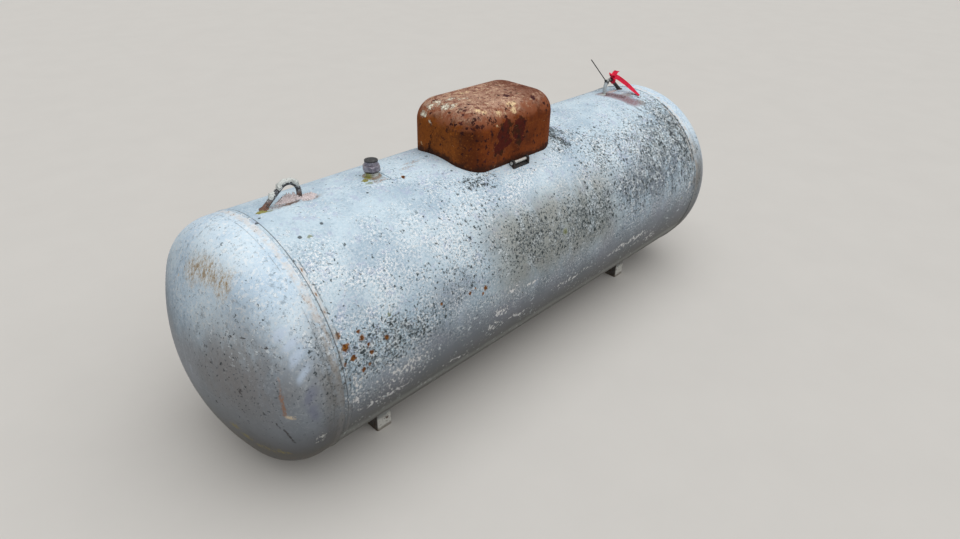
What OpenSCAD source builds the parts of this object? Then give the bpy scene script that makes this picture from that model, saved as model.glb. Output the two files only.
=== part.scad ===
// Horizontal pressure tank for liquefied gas: a welded steel vessel on four short legs,
// with its valves under a hinged steel hood on the top line.
// Origin on the floor under the middle of the vessel, X along the vessel, Y across it, Z up.

/* [Vessel] */
// Outside diameter of the shell and of both heads
shell_od = 950; // [800:1:1100]
// Thickness of the rolled shell and of the pressed heads
wall_t = 6.4; // [5:0.1:12]
// Distance between the two girth seams
seam_span = 2340; // [2200:1:3000]
// Straight skirt of each head, from its seam to the start of the knuckle
head_skirt = 50; // [30:1:80]
// Outside radius of each head's crown
crown_r = 785; // [700:1:950]
// Outside radius of each head's knuckle
knuckle_r = 158; // [100:1:200]
// Gap between the floor and the underside of the shell
ground_clearance = 30; // [25:1:85]

/* [Welds] */
// Width of a girth or long weld bead
bead_w = 12; // [6:0.5:20]
// Height of a weld bead above the plate
bead_h = 2.4; // [1:0.1:4]
// Place of the long seam round the shell, in degrees from the back's level
long_seam_turn = -20; // [-40:1:20]

/* [Lifting lugs] */
// Distance from each girth seam in to the nearby lug's upright foot
lug_seam_gap = 213; // [170:1:320]
// Distance between a lug's two feet
lug_foot_gap = 142; // [120:1:150]
// Rise of a lug's bar above the top of the shell, to the bar's centre
lug_rise = 67; // [60:1:90]
// Diameter of the lug's round bar
lug_bar_d = 19; // [12:0.5:24]
// Radius of the lug's bend, on the bar's centre
lug_bend_r = 42; // [30:1:48]
// Thinning of the bar where it was bent
lug_thinning = 0.6; // [0.2:0.1:1.5]
// Turn of the near lug behind the shell's top line
lug_near_turn = 3; // [0:0.5:6]
// Turn of the far lug behind the shell's top line
lug_far_turn = 5; // [0:0.5:6]

/* [Relief valve] */
// Place of the relief valve along the vessel
relief_x = -655; // [-720:1:-650]
// Outside diameter of its welded coupling
relief_coupling_d = 54; // [50:1:60]
// Height of the coupling above the top of the shell
relief_coupling_h = 20; // [12:1:40]
// Diameter of the welded pad round the coupling
relief_pad_d = 70; // [64:1:80]
// Thickness of that pad
relief_pad_t = 4; // [2:0.5:6]
// Diameter of the valve's neck where it enters the coupling
relief_neck_d = 42; // [36:1:45]
// Height of the neck that shows above the coupling
relief_neck_h = 6; // [3:1:15]
// Width across the flats of the valve's hexagon
relief_hex_af = 62; // [50:1:70]
// Height of the hexagon
relief_hex_h = 22; // [15:1:30]
// Slant of the hexagon's turned chamfer, on its diameter
relief_hex_slant = 31; // [20:1:40]
// Outside diameter of the outlet rim
relief_rim_d = 52; // [46:1:56]
// Height of the outlet rim
relief_rim_h = 15; // [8:1:25]
// Depth of the outlet's bore
relief_outlet_depth = 24; // [10:1:30]
// Wall of the outlet rim
relief_rim_t = 4; // [3:0.5:6]
// Thickness of the rain cap's disc
rain_cap_t = 4; // [2:0.5:8]

/* [Data plate] */
// Place of the data plate along the vessel
plate_x = -577; // [-577:1:-540]
// Place of its middle across the vessel
plate_y = -14; // [-40:1:20]
// Length of the plate along the vessel
plate_l = 72; // [50:1:72]
// Width of the plate across the vessel
plate_w = 126; // [90:1:150]
// Thickness of the plate
plate_t = 2.5; // [1:0.5:4]
// Radius of the plate's corners
plate_corner_r = 6; // [3:1:12]
// Gap between the plate and the shell
plate_gap = 0.3; // [0.1:0.1:0.6]

/* [Hood] */
// Place of the hood's middle along the vessel
hood_x = -42; // [-100:1:20]
// Place of the hood's middle across the vessel
hood_y = -12; // [-25:1:10]
// Outside length of the hood
hood_l = 580; // [520:1:640]
// Outside width of the hood
hood_w = 374; // [330:1:420]
// Height of the hood's top above the top of the shell
hood_rise = 206; // [180:1:260]
// Thickness of the hood's sheet
hood_t = 2.5; // [2:0.1:5]
// Outside radius of the hood's upright corners
hood_corner_r = 114; // [104:1:120]
// Outside radius of the hood's top edge
hood_edge_r = 94; // [50:1:100]
// Gap between the hood's lower edge and the shell
hood_seat_gap = 1; // [0.5:0.1:3]

/* [Hood crack] */
// Width of the crack in the hood's near end
crack_w = 4; // [2:0.5:8]
// Height of the crack above the lower edge
crack_h = 118; // [60:1:140]
// Distance of the crack's foot behind the middle line
crack_foot_y = 39; // [0:1:50]
// Distance of the crack's tip in front of the middle line
crack_tip_y = 6; // [0:1:40]

/* [Hood hinges and catch] */
// Distance from the hood's middle to each hinge
hinge_offset = 165; // [120:1:180]
// Diameter of the hinge pins
hinge_pin_d = 10; // [8:0.5:12]
// Gap between a pin and the holes round it, on the radius
hinge_pin_gap = 0.3; // [0.1:0.05:0.6]
// Distance of the pin's axis behind the hood's back wall
hinge_pin_back = 16; // [14:1:24]
// Height of the pin's axis above the shell, measured square to it
hinge_pin_lift = 21; // [19:1:30]
// Thickness of the hood's ears and of the brackets round them
hinge_plate_t = 6; // [4:0.5:8]
// Gap between an ear and each bracket plate beside it
hinge_side_gap = 1; // [0.5:0.1:3]
// Radius of the rounded end of the ears and brackets
hinge_eye_r = 10.5; // [9:0.1:11]
// Reach of a hinge pin beyond the bracket's plates
hinge_pin_reach = 3; // [1:0.5:6]
// Diameter of a hinge pin's head
hinge_head_d = 16; // [13:0.5:18]
// Thickness of that head
hinge_head_t = 3; // [2:0.5:5]
// Diameter of the catch's bright bar
catch_bar_d = 14; // [10:0.5:18]
// Length of the catch over its two cheeks
catch_l = 100; // [60:1:120]
// Reach of the bar beyond each cheek
catch_bar_reach = 3; // [1:0.5:8]
// Thickness of the catch's two cheeks
catch_cheek_t = 10; // [6:0.5:14]
// Thickness of the base plate that joins them
catch_base_t = 4; // [2:0.5:6]
// Radius of the cheeks' rounded ends
catch_eye_r = 13; // [11:0.5:16]
// Height of the bar's axis above the shell, measured square to it
catch_lift = 14; // [13:1:20]
// Gap between the hood's front wall and the catch
catch_gap = 6; // [5:0.5:12]

/* [Fittings under the hood] */
// Diameter of each welded coupling
coupling_d = 60; // [50:1:66]
// Height of each coupling above the top of the shell
coupling_h = 16; // [10:1:30]
// Gap round a coupling in the hole of the shell
coupling_gap = 0.2; // [0.1:0.05:0.4]
// Place of the service valve, from the hood's middle
service_dx = -150; // [-170:1:-130]
// Place of the float gauge, from the hood's middle
gauge_dx = -40; // [-50:1:-20]
// Place of the fill valve, from the hood's middle
fill_dx = 68; // [50:1:80]
// Place of the vapour valve, from the hood's middle
vapour_dx = 168; // [150:1:180]
// Diameter of the threaded ends that screw into the couplings
fitting_thread_d = 36; // [30:1:42]

/* [Service valve] */
// Width across the flats of the valve's hexagon
service_hex_af = 44; // [40:1:52]
// Height of that hexagon
service_hex_h = 14; // [10:1:18]
// Diameter of the valve's body
service_body_d = 36; // [30:1:40]
// Height of the body above the hexagon
service_body_h = 56; // [50:1:66]
// Width across the flats of the bonnet
bonnet_af = 30; // [24:1:34]
// Height of the bonnet
bonnet_h = 16; // [10:1:20]
// Diameter of the stem
stem_d = 10; // [8:0.5:12]
// Height of the stem above the bonnet
stem_h = 22; // [18:1:26]
// Outside diameter of the handwheel
wheel_d = 64; // [56:1:70]
// Diameter of the wheel's rim
wheel_rim_d = 9; // [7:0.5:11]
// Diameter of the wheel's spokes
wheel_spoke_d = 6.3; // [5:0.1:7]
// Number of spokes
wheel_spokes = 4; // [3:1:6]
// Diameter of the side outlet
outlet_d = 32; // [26:1:34]
// Reach of the outlet from the valve's middle
outlet_l = 40; // [34:1:46]
// Bore of the outlet
outlet_bore_d = 20; // [16:1:22]
// Height of the outlet above the coupling
outlet_z = 34; // [32:1:40]
// Width across the flats of the outlet's plug
plug_af = 28; // [24:1:32]
// Length of the plug's hexagon
plug_l = 16; // [10:1:20]

/* [Gauge and vent] */
// Diameter of the gauge's flange
gauge_flange_d = 72; // [64:1:80]
// Thickness of the flange
gauge_flange_h = 9; // [6:0.5:12]
// Diameter of the dial housing
gauge_dial_d = 50; // [44:1:54]
// Height of the dial housing above the flange
gauge_dial_h = 14; // [10:1:20]
// Width across the flats of the flange's screws
gauge_screw_af = 9; // [7:0.5:10]
// Height of the screws' heads
gauge_screw_h = 6; // [4:0.5:8]
// Number of screws
gauge_screws = 4; // [4:1:6]
// Diameter of the vent's boss
vent_d = 22; // [18:1:26]
// Height of the boss above the shell
vent_h = 30; // [20:1:40]
// Height of the vent's hexagon
vent_hex_h = 6; // [4:1:10]
// Diameter of the vent's knob
vent_knob_d = 18; // [14:1:22]
// Height of the knob
vent_knob_h = 12; // [8:1:16]

/* [Fill and vapour valves] */
// Width across the flats of the fill valve's hexagon
fill_hex_af = 54; // [48:1:60]
// Height of that hexagon
fill_hex_h = 18; // [14:1:22]
// Diameter of the fill valve's throat
fill_throat_d = 44; // [38:1:46]
// Height of the throat above the hexagon
fill_throat_h = 30; // [24:1:32]
// Diameter of the fill valve's cap
fill_cap_d = 58; // [54:1:64]
// Height of that cap
fill_cap_h = 34; // [33:1:40]
// Number of ribs on it
fill_cap_ribs = 10; // [6:1:12]
// Width across the flats of the vapour valve's hexagon
vapour_hex_af = 44; // [40:1:50]
// Height of that hexagon
vapour_hex_h = 14; // [10:1:18]
// Diameter of the vapour valve's throat
vapour_throat_d = 32; // [28:1:34]
// Height of the throat above the hexagon
vapour_throat_h = 22; // [18:1:24]
// Diameter of the vapour valve's cap
vapour_cap_d = 44; // [40:1:48]
// Height of that cap
vapour_cap_h = 26; // [25:1:32]
// Number of ribs on it
vapour_cap_ribs = 8; // [6:1:12]
// Diameter of the ribs on both caps
cap_rib_d = 6; // [4:0.5:7]

/* [Legs] */
// Distance from each girth seam in to the middle of the nearby legs
leg_seam_gap = 302; // [270:1:390]
// Distance between the outer faces of the front and back legs
leg_spread = 530; // [480:1:600]
// Width of a leg along the vessel
leg_w = 76; // [60:1:90]
// Depth of a leg's side flanges
leg_depth = 66; // [50:1:80]
// Thickness of the legs' bent plate
leg_t = 6; // [5:0.5:10]
// Inside radius of the plate's bends
leg_inner_r = 3; // [2:0.5:6]
// Thickness of the pad between a leg and the shell
pad_t = 6; // [4:0.5:10]
// Reach of the pad beyond the leg on every side
pad_reach = 22; // [15:1:40]
// Thickness of the foot plate
foot_t = 8; // [6:0.5:12]
// Diameter of the anchor hole in each foot
anchor_d = 22; // [16:1:26]

/* [Marker on the far lug] */
// Diameter of the cable tie's stiff tail
tie_d = 5; // [3:0.5:6]
// Width of the strap round the bar
tie_strap_w = 8; // [6:0.5:10]
// Thickness of the strap
tie_strap_t = 2; // [1:0.5:3]
// Place of the strap on the lug's bend, from the top of its upright
tie_place = 50; // [10:1:60]
// Length of the tie's loose tail
tie_tail_l = 150; // [120:1:180]
// Lean of the tail along the vessel, from the bar's line
tie_lean = 85; // [40:1:90]
// Lean of the tail towards the back
tie_back_lean = 16; // [0:1:40]
// Thickness of the ribbon
ribbon_t = 1.5; // [1:0.1:3]
// Thickness of the ribbon's turns round the bar
ribbon_knot_t = 5; // [3:0.5:8]
// Width of the ribbon
ribbon_w = 26; // [20:1:35]
// Reach of the ribbon's loose end, seen from above
ribbon_run = 150; // [90:1:170]
// Turn of the loose end towards the front, seen from above
ribbon_turn = 60; // [30:1:80]

/* [Hidden] */

// Vessel values worked out from the sizes above
shell_r = shell_od / 2;
inner_r = shell_r - wall_t;
seam_x = seam_span / 2;
axis_h = shell_r + ground_clearance;
top_z = axis_h + shell_r;
// Places of the upright lug feet and of the legs' middles along the vessel
lug_x = seam_x - lug_seam_gap;
leg_x = seam_x - leg_seam_gap;
// Distance from the crown's centre back to the start of the knuckle
crown_back = sqrt(pow(crown_r - knuckle_r, 2) - pow(shell_r - knuckle_r, 2));
// Radius at which the crown runs into the knuckle
blend_r = crown_r * (shell_r - knuckle_r) / (crown_r - knuckle_r);
// Circle behind a weld bead's rounded face
bead_r = (bead_w * bead_w / 4 + bead_h * bead_h) / (2 * bead_h);
// Angle on the lug's bend at which the sloping leg leaves it
lug_bend_x = lug_bend_r;
lug_bend_z = lug_rise - lug_bend_r;
lug_reach = norm([lug_foot_gap - lug_bend_x, lug_bend_z]);
lug_tangent = acos(lug_bend_r / lug_reach) - atan2(lug_bend_z, lug_foot_gap - lug_bend_x);
lug_slope_x = lug_bend_x + lug_bend_r * cos(lug_tangent);
lug_slope_z = lug_bend_z + lug_bend_r * sin(lug_tangent);
// Lap of a lug's straight legs over its thinner bend
lug_lap = 2;
// Relief valve levels above the top of the shell
relief_hex_z = relief_coupling_h + relief_neck_h;
relief_rim_z = relief_hex_z + relief_hex_h;
relief_top_z = relief_rim_z + relief_rim_h;
// Hood and hinge places
hood_top = top_z + hood_rise;
hood_back_y = hood_y + hood_w / 2;
pin_y = hood_back_y + hinge_pin_back;
pin_z = axis_h + sqrt(pow(shell_r + hinge_pin_lift, 2) - pow(pin_y, 2));
hinge_pitch = hinge_plate_t + hinge_side_gap;
catch_y = hood_y - (hood_w / 2 + catch_gap + catch_eye_r);
catch_z = axis_h + sqrt(pow(shell_r + catch_lift, 2) - pow(catch_y, 2));
// Height of the crack's bend and width there, as shares of its height and foot
crack_bend = 0.45;
crack_waist = 2 / 3;
// Depth to which couplings and threaded ends reach
coupling_depth = 26;
thread_gap = 0.2;
thread_l = 14;
cap_gap = 0.3;
// Reach of a screw cap's ribs beyond its side
cap_rib_out = 2;
// Place, size and height of the fittings' couplings
service_x = hood_x + service_dx;
gauge_x = hood_x + gauge_dx;
fill_x = hood_x + fill_dx;
vapour_x = hood_x + vapour_dx;
vent_x = (service_x + gauge_x) / 2;
coupling_holes = [[relief_x, relief_coupling_d], [service_x, coupling_d], [gauge_x, coupling_d],
  [fill_x, coupling_d], [vapour_x, coupling_d]];
// Legs
leg_out_y = leg_spread / 2;
leg_in_y = leg_out_y - leg_depth;
leg_bend_r = leg_t + leg_inner_r;
pad_from = asin((leg_in_y - pad_reach) / (shell_r + pad_t));
pad_to = asin((leg_out_y + pad_reach) / (shell_r + pad_t));
through = 1;
round_fn = 180;
small_fn = 64;
// Colours as the weathered tank shows them
paint = [0.74, 0.78, 0.80];
pale_paint = [0.80, 0.81, 0.80];
rust = [0.50, 0.27, 0.13];
dark_steel = [0.30, 0.29, 0.31];
brass = [0.72, 0.58, 0.32];
black = [0.06, 0.06, 0.07];
red = [0.78, 0.07, 0.16];

// Turns a shape drawn about Z so that it lies along the vessel's axis
module along_x() {
  translate([0, 0, axis_h]) rotate([0, 90, 0]) children();
}

// Cylinder of the shell's outside, made larger by a gap, for seats that saddle the shell
module shell_round(gap) {
  along_x() cylinder(r = shell_r + gap, h = 2 * seam_span, center = true, $fn = round_fn);
}

// Extrudes an outline drawn in (Y, Z) along X, centred on x
module plate_at(x, t) {
  translate([x - t / 2, 0, 0]) rotate([90, 0, 90]) linear_extrude(t) children();
}

module rounded_rect(l, w, r) {
  square([l - 2 * r, w], center = true);
  square([l, w - 2 * r], center = true);
  for (sx = [-1, 1], sy = [-1, 1]) {
    translate([sx * (l / 2 - r), sy * (w / 2 - r)]) circle(r = r, $fn = small_fn);
  }
}

// Half outline of a dished head with its skirt below the knuckle's start
module head_outline(inset, extra) {
  translate([0, -head_skirt - extra]) square([shell_r - inset, head_skirt + extra]);
  intersection() {
    translate([shell_r - knuckle_r, 0]) circle(r = knuckle_r - inset, $fn = round_fn);
    square([shell_r, knuckle_r]);
  }
  intersection() {
    translate([0, -crown_back]) circle(r = crown_r - inset, $fn = 2 * round_fn);
    square([blend_r * (crown_r - inset) / crown_r, crown_r]);
  }
}

module head_far() {
  color(paint) translate([seam_x + head_skirt, 0, axis_h]) rotate([0, 90, 0])
    rotate_extrude($fn = round_fn) difference() {
      head_outline(0, 0);
      head_outline(wall_t, through);
    }
}

module head_near() {
  mirror([1, 0, 0]) head_far();
}

module shell() {
  color(paint) difference() {
    along_x() difference() {
      cylinder(r = shell_r, h = seam_span, center = true, $fn = round_fn);
      cylinder(r = inner_r, h = seam_span + 2 * through, center = true, $fn = round_fn);
    }
    for (c = coupling_holes) {
      translate([c[0], 0, axis_h]) cylinder(r = c[1] / 2 + coupling_gap, h = shell_od, $fn = small_fn);
    }
  }
}

// Rounded face of a weld bead, its flat side on the plate
module bead_section() {
  intersection() {
    translate([bead_h - bead_r, 0]) circle(r = bead_r, $fn = small_fn);
    translate([0, -bead_w]) square([bead_w, 2 * bead_w]);
  }
}

module girth_weld(x) {
  color(paint) translate([x, 0, 0]) along_x() rotate_extrude($fn = round_fn)
    translate([shell_r, 0]) bead_section();
}

module girth_weld_near() {
  girth_weld(-seam_x);
}

module girth_weld_far() {
  girth_weld(seam_x);
}

// The shell is rolled from one plate, whose seam lies low on the back
module long_weld() {
  color(paint) along_x() rotate([0, 0, 90 + long_seam_turn]) translate([shell_r, 0, 0])
    linear_extrude(seam_span - bead_w, center = true) bead_section();
}

// Round bar bent into a loop, one leg upright and one sloping, cut to the shell
module lug_bar() {
  slope_l = norm([lug_foot_gap - lug_slope_x, lug_slope_z]);
  slope_turn = atan2(lug_foot_gap - lug_slope_x, -lug_slope_z);
  translate([0, 0, -lug_bar_d])
    cylinder(d = lug_bar_d, h = lug_bend_z + lug_bar_d + lug_lap, $fn = small_fn);
  translate([lug_bend_x, 0, lug_bend_z]) rotate([90, 0, 0]) rotate([0, 0, lug_tangent])
    rotate_extrude(angle = 180 - lug_tangent, $fn = round_fn)
      translate([lug_bend_r, 0]) circle(d = lug_bar_d - lug_thinning, $fn = small_fn);
  translate([lug_slope_x, 0, lug_slope_z]) rotate([0, slope_turn, 0]) translate([0, 0, -lug_lap])
    cylinder(d = lug_bar_d, h = slope_l + lug_bar_d + lug_lap, $fn = small_fn);
}

// Sets what belongs to a lug on the shell, from the foot of the lug's upright
module on_lug(turn) {
  translate([lug_x, 0, axis_h]) rotate([-turn, 0, 0]) translate([0, 0, shell_r]) children();
}

module lug(turn) {
  color(dark_steel) difference() {
    on_lug(turn) lug_bar();
    shell_round(0);
  }
}

module lug_far() {
  lug(lug_far_turn);
}

module lug_near() {
  mirror([1, 0, 0]) lug(lug_near_turn);
}

// Coupling welded into its hole in the shell, bored for the valve that screws into it
module coupling(x, d, h, bore_d) {
  translate([x, 0, top_z - coupling_depth]) difference() {
    cylinder(d = d, h = coupling_depth + h, $fn = small_fn);
    translate([0, 0, -through])
      cylinder(d = bore_d + 2 * thread_gap, h = coupling_depth + h + 2 * through, $fn = small_fn);
  }
}

// Coupling of the relief valve with the pad that is welded round it on the shell
module relief_coupling() {
  color(pale_paint) difference() {
    union() {
      translate([relief_x, 0, top_z - coupling_depth])
        cylinder(d = relief_coupling_d, h = coupling_depth + relief_coupling_h, $fn = small_fn);
      difference() {
        intersection() {
          translate([relief_x, 0, axis_h]) cylinder(d = relief_pad_d, h = shell_od, $fn = small_fn);
          shell_round(relief_pad_t);
        }
        shell_round(0);
      }
    }
    translate([relief_x, 0, axis_h])
      cylinder(d = relief_neck_d + 2 * thread_gap, h = shell_od, $fn = small_fn);
  }
}

module relief_valve() {
  color(dark_steel) translate([relief_x, 0, top_z]) difference() {
    union() {
      translate([0, 0, relief_coupling_h - thread_l])
        cylinder(d = relief_neck_d, h = thread_l + relief_neck_h, $fn = small_fn);
      translate([0, 0, relief_hex_z]) intersection() {
        cylinder(d = relief_hex_af / cos(30), h = relief_hex_h, $fn = 6);
        cylinder(d1 = relief_hex_af + relief_hex_slant, d2 = relief_hex_af, h = relief_hex_h,
          $fn = small_fn);
      }
      translate([0, 0, relief_rim_z]) cylinder(d = relief_rim_d, h = relief_rim_h, $fn = small_fn);
    }
    translate([0, 0, relief_top_z - relief_outlet_depth])
      cylinder(d = relief_rim_d - 2 * relief_rim_t, h = relief_outlet_depth + through, $fn = small_fn);
  }
}

// Loose cap that closes the relief valve's outlet against rain
module rain_cap() {
  color(black) translate([relief_x, 0, top_z + relief_top_z]) {
    cylinder(d = relief_rim_d, h = rain_cap_t, $fn = small_fn);
    translate([0, 0, -rain_cap_t])
      cylinder(d = relief_rim_d - 2 * (relief_rim_t + cap_gap), h = rain_cap_t, $fn = small_fn);
  }
}

// Blank plate curved to the shell
module data_plate() {
  color(pale_paint) intersection() {
    difference() {
      shell_round(plate_gap + plate_t);
      shell_round(plate_gap);
    }
    translate([plate_x, plate_y, axis_h]) linear_extrude(shell_od)
      rounded_rect(plate_l, plate_w, plate_corner_r);
  }
}

// Section of the hood's rounded top edge, from a corner's axis out to the wall
module hood_edge_section() {
  inner_reach = hood_corner_r - hood_edge_r;
  translate([0, hood_edge_r - hood_t]) square([inner_reach, hood_t]);
  intersection() {
    translate([inner_reach, 0]) difference() {
      circle(r = hood_edge_r, $fn = small_fn);
      circle(r = hood_edge_r - hood_t, $fn = small_fn);
    }
    translate([inner_reach, 0]) square([hood_edge_r, hood_edge_r]);
  }
}

// Pressed sheet form of the hood: walls, rounded edges, ball corners and flat top
module hood_sheet() {
  flat_l = hood_l - 2 * hood_corner_r;
  flat_w = hood_w - 2 * hood_corner_r;
  edge_z = hood_top - hood_edge_r;
  translate([hood_x, hood_y, 0]) {
    translate([0, 0, axis_h]) linear_extrude(edge_z - axis_h) difference() {
      rounded_rect(hood_l, hood_w, hood_corner_r);
      rounded_rect(hood_l - 2 * hood_t, hood_w - 2 * hood_t, hood_corner_r - hood_t);
    }
    translate([-flat_l / 2, -flat_w / 2, hood_top - hood_t]) cube([flat_l, flat_w, hood_t]);
    for (sx = [0, 1], sy = [0, 1]) {
      mirror([sx, 0, 0]) mirror([0, sy, 0]) translate([flat_l / 2, flat_w / 2, edge_z])
        rotate_extrude(angle = 90, $fn = small_fn) hood_edge_section();
    }
    for (side = [0, 1]) {
      mirror([0, side, 0]) translate([flat_l / 2, flat_w / 2, edge_z]) rotate([90, 0, -90])
        mirror([1, 0, 0]) linear_extrude(flat_l) hood_edge_section();
      mirror([side, 0, 0]) translate([flat_l / 2, flat_w / 2, edge_z]) rotate([90, 0, 0])
        linear_extrude(flat_w) hood_edge_section();
    }
  }
}

// Rust crack that tapers up the hood's near end from its lower edge
module hood_crack() {
  foot_z = axis_h + sqrt(pow(shell_r, 2) - pow(crack_foot_y, 2)) - hood_t;
  middle_y = (crack_foot_y - crack_tip_y) / 2 + crack_w;
  middle_z = foot_z + crack_h * crack_bend;
  waist = crack_w * crack_waist;
  plate_at(hood_x - hood_l / 2, 4 * hood_t) polygon([
    [crack_foot_y - crack_w / 2, foot_z], [crack_foot_y + crack_w / 2, foot_z],
    [middle_y + waist / 2, middle_z], [-crack_tip_y, foot_z + crack_h],
    [middle_y - waist / 2, middle_z]]);
}

module hood() {
  color(rust) difference() {
    hood_sheet();
    shell_round(hood_seat_gap);
    hood_crack();
  }
}

// Ear welded to the hood's back wall, bored for its hinge pin
module hood_ear(side) {
  web_h = 3 * hinge_eye_r;
  web_turn = atan2(web_h, -hinge_pin_back) - acos(hinge_eye_r / norm([hinge_pin_back, web_h]));
  color(rust) plate_at(hood_x + side * hinge_offset, hinge_plate_t) difference() {
    union() {
      translate([pin_y, pin_z]) circle(r = hinge_eye_r, $fn = small_fn);
      polygon([[hood_back_y, pin_z - hinge_eye_r], [pin_y, pin_z - hinge_eye_r],
        [pin_y + hinge_eye_r * cos(web_turn), pin_z + hinge_eye_r * sin(web_turn)],
        [hood_back_y, pin_z + web_h]]);
    }
    translate([pin_y, pin_z]) circle(r = hinge_pin_d / 2 + hinge_pin_gap, $fn = small_fn);
  }
}

module hood_ear_near() {
  hood_ear(-1);
}

module hood_ear_far() {
  hood_ear(1);
}

// Two plates that stand on the shell on both sides of an ear
module hinge_bracket(side) {
  for (k = [-1, 1]) {
    color(pale_paint) difference() {
      plate_at(hood_x + side * hinge_offset + k * hinge_pitch, hinge_plate_t) difference() {
        union() {
          translate([pin_y, pin_z]) circle(r = hinge_eye_r, $fn = small_fn);
          translate([pin_y - hinge_eye_r, axis_h]) square([2 * hinge_eye_r, pin_z - axis_h]);
        }
        translate([pin_y, pin_z]) circle(r = hinge_pin_d / 2 + hinge_pin_gap, $fn = small_fn);
      }
      shell_round(0);
    }
  }
}

module hinge_bracket_near() {
  hinge_bracket(-1);
}

module hinge_bracket_far() {
  hinge_bracket(1);
}

// Pin with a flat head on its outer end
module hinge_pin(side) {
  half_l = hinge_pitch + hinge_plate_t / 2 + hinge_pin_reach;
  color(dark_steel) translate([hood_x + side * hinge_offset, pin_y, pin_z])
    rotate([0, side * 90, 0]) {
      cylinder(d = hinge_pin_d, h = 2 * half_l, center = true, $fn = small_fn);
      translate([0, 0, half_l]) cylinder(d = hinge_head_d, h = hinge_head_t, $fn = small_fn);
    }
}

module hinge_pin_near() {
  hinge_pin(-1);
}

module hinge_pin_far() {
  hinge_pin(1);
}

// Two cheeks on a base plate in front of the hood, bored for the catch's bar
module catch_bracket() {
  color(dark_steel) difference() {
    union() {
      intersection() {
        plate_at(hood_x, catch_l)
          translate([catch_y - catch_eye_r, axis_h]) square([2 * catch_eye_r, shell_r]);
        shell_round(catch_base_t);
      }
      for (k = [-1, 1]) {
        plate_at(hood_x + k * (catch_l - catch_cheek_t) / 2, catch_cheek_t) {
          translate([catch_y, catch_z]) circle(r = catch_eye_r, $fn = small_fn);
          translate([catch_y - catch_eye_r, axis_h]) square([2 * catch_eye_r, catch_z - axis_h]);
        }
      }
    }
    translate([hood_x, catch_y, catch_z]) rotate([0, 90, 0])
      cylinder(r = catch_bar_d / 2 + thread_gap, h = 2 * catch_l, center = true, $fn = small_fn);
    shell_round(0);
  }
}

module catch_bar() {
  color("gainsboro") translate([hood_x, catch_y, catch_z]) rotate([0, 90, 0])
    cylinder(d = catch_bar_d, h = catch_l + 2 * catch_bar_reach, center = true, $fn = small_fn);
}

module service_coupling() {
  color(pale_paint) coupling(service_x, coupling_d, coupling_h, fitting_thread_d);
}

module gauge_coupling() {
  color(pale_paint) coupling(gauge_x, coupling_d, coupling_h, fitting_thread_d);
}

module fill_coupling() {
  color(pale_paint) coupling(fill_x, coupling_d, coupling_h, fitting_thread_d);
}

module vapour_coupling() {
  color(pale_paint) coupling(vapour_x, coupling_d, coupling_h, fitting_thread_d);
}

// Threaded end that sits in a coupling, its shoulder on the coupling's top
module threaded_end(x) {
  translate([x, 0, top_z + coupling_h - thread_l])
    cylinder(d = fitting_thread_d, h = thread_l, $fn = small_fn);
}

module hexagon(af, h) {
  cylinder(d = af / cos(30), h = h, $fn = 6);
}

// Angle valve: hexagon, round body with a side outlet towards the near end, and bonnet
module service_valve() {
  color(brass) {
    threaded_end(service_x);
    translate([service_x, 0, top_z + coupling_h]) difference() {
      union() {
        hexagon(service_hex_af, service_hex_h);
        cylinder(d = service_body_d, h = service_hex_h + service_body_h, $fn = small_fn);
        translate([0, 0, service_hex_h + service_body_h]) hexagon(bonnet_af, bonnet_h);
        translate([0, 0, outlet_z]) rotate([0, -90, 0]) cylinder(d = outlet_d, h = outlet_l, $fn = small_fn);
        translate([0, 0, service_hex_h + service_body_h + bonnet_h])
          cylinder(d = stem_d, h = stem_h, $fn = small_fn);
      }
      translate([-service_body_d / 2, 0, outlet_z]) rotate([0, -90, 0])
        cylinder(d = outlet_bore_d, h = outlet_l, $fn = small_fn);
    }
  }
}

// Spoked wheel on the service valve's stem
module handwheel() {
  wheel_z = top_z + coupling_h + service_hex_h + service_body_h + bonnet_h + stem_h - wheel_rim_d;
  color("firebrick") translate([service_x, 0, wheel_z]) difference() {
    union() {
      rotate_extrude($fn = small_fn) translate([(wheel_d - wheel_rim_d) / 2, 0])
        circle(d = wheel_rim_d, $fn = 32);
      for (k = [0 : wheel_spokes - 1]) {
        rotate([0, 90, k * 360 / wheel_spokes])
          cylinder(d = wheel_spoke_d, h = (wheel_d - wheel_rim_d) / 2, $fn = 32);
      }
      cylinder(d = 2 * stem_d, h = wheel_rim_d, center = true, $fn = small_fn);
    }
    cylinder(d = stem_d + 2 * thread_gap, h = 2 * wheel_rim_d, center = true, $fn = small_fn);
  }
}

// Plug that closes the service valve's outlet
module outlet_plug() {
  color(brass) translate([service_x - outlet_l, 0, top_z + coupling_h + outlet_z]) rotate([0, -90, 0]) {
    hexagon(plug_af, plug_l);
    translate([0, 0, -thread_l])
      cylinder(d = outlet_bore_d - 2 * thread_gap, h = thread_l, $fn = small_fn);
  }
}

// Float gauge: flange with its screws and a round dial housing
module float_gauge() {
  color("lightgray") {
    threaded_end(gauge_x);
    translate([gauge_x, 0, top_z + coupling_h]) {
      cylinder(d = gauge_flange_d, h = gauge_flange_h, $fn = small_fn);
      cylinder(d = gauge_dial_d, h = gauge_flange_h + gauge_dial_h, $fn = small_fn);
      for (k = [0 : gauge_screws - 1]) {
        rotate([0, 0, (k + 0.5) * 360 / gauge_screws])
          translate([(gauge_flange_d + gauge_dial_d) / 4, 0, gauge_flange_h])
            hexagon(gauge_screw_af, gauge_screw_h);
      }
    }
  }
}

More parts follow.
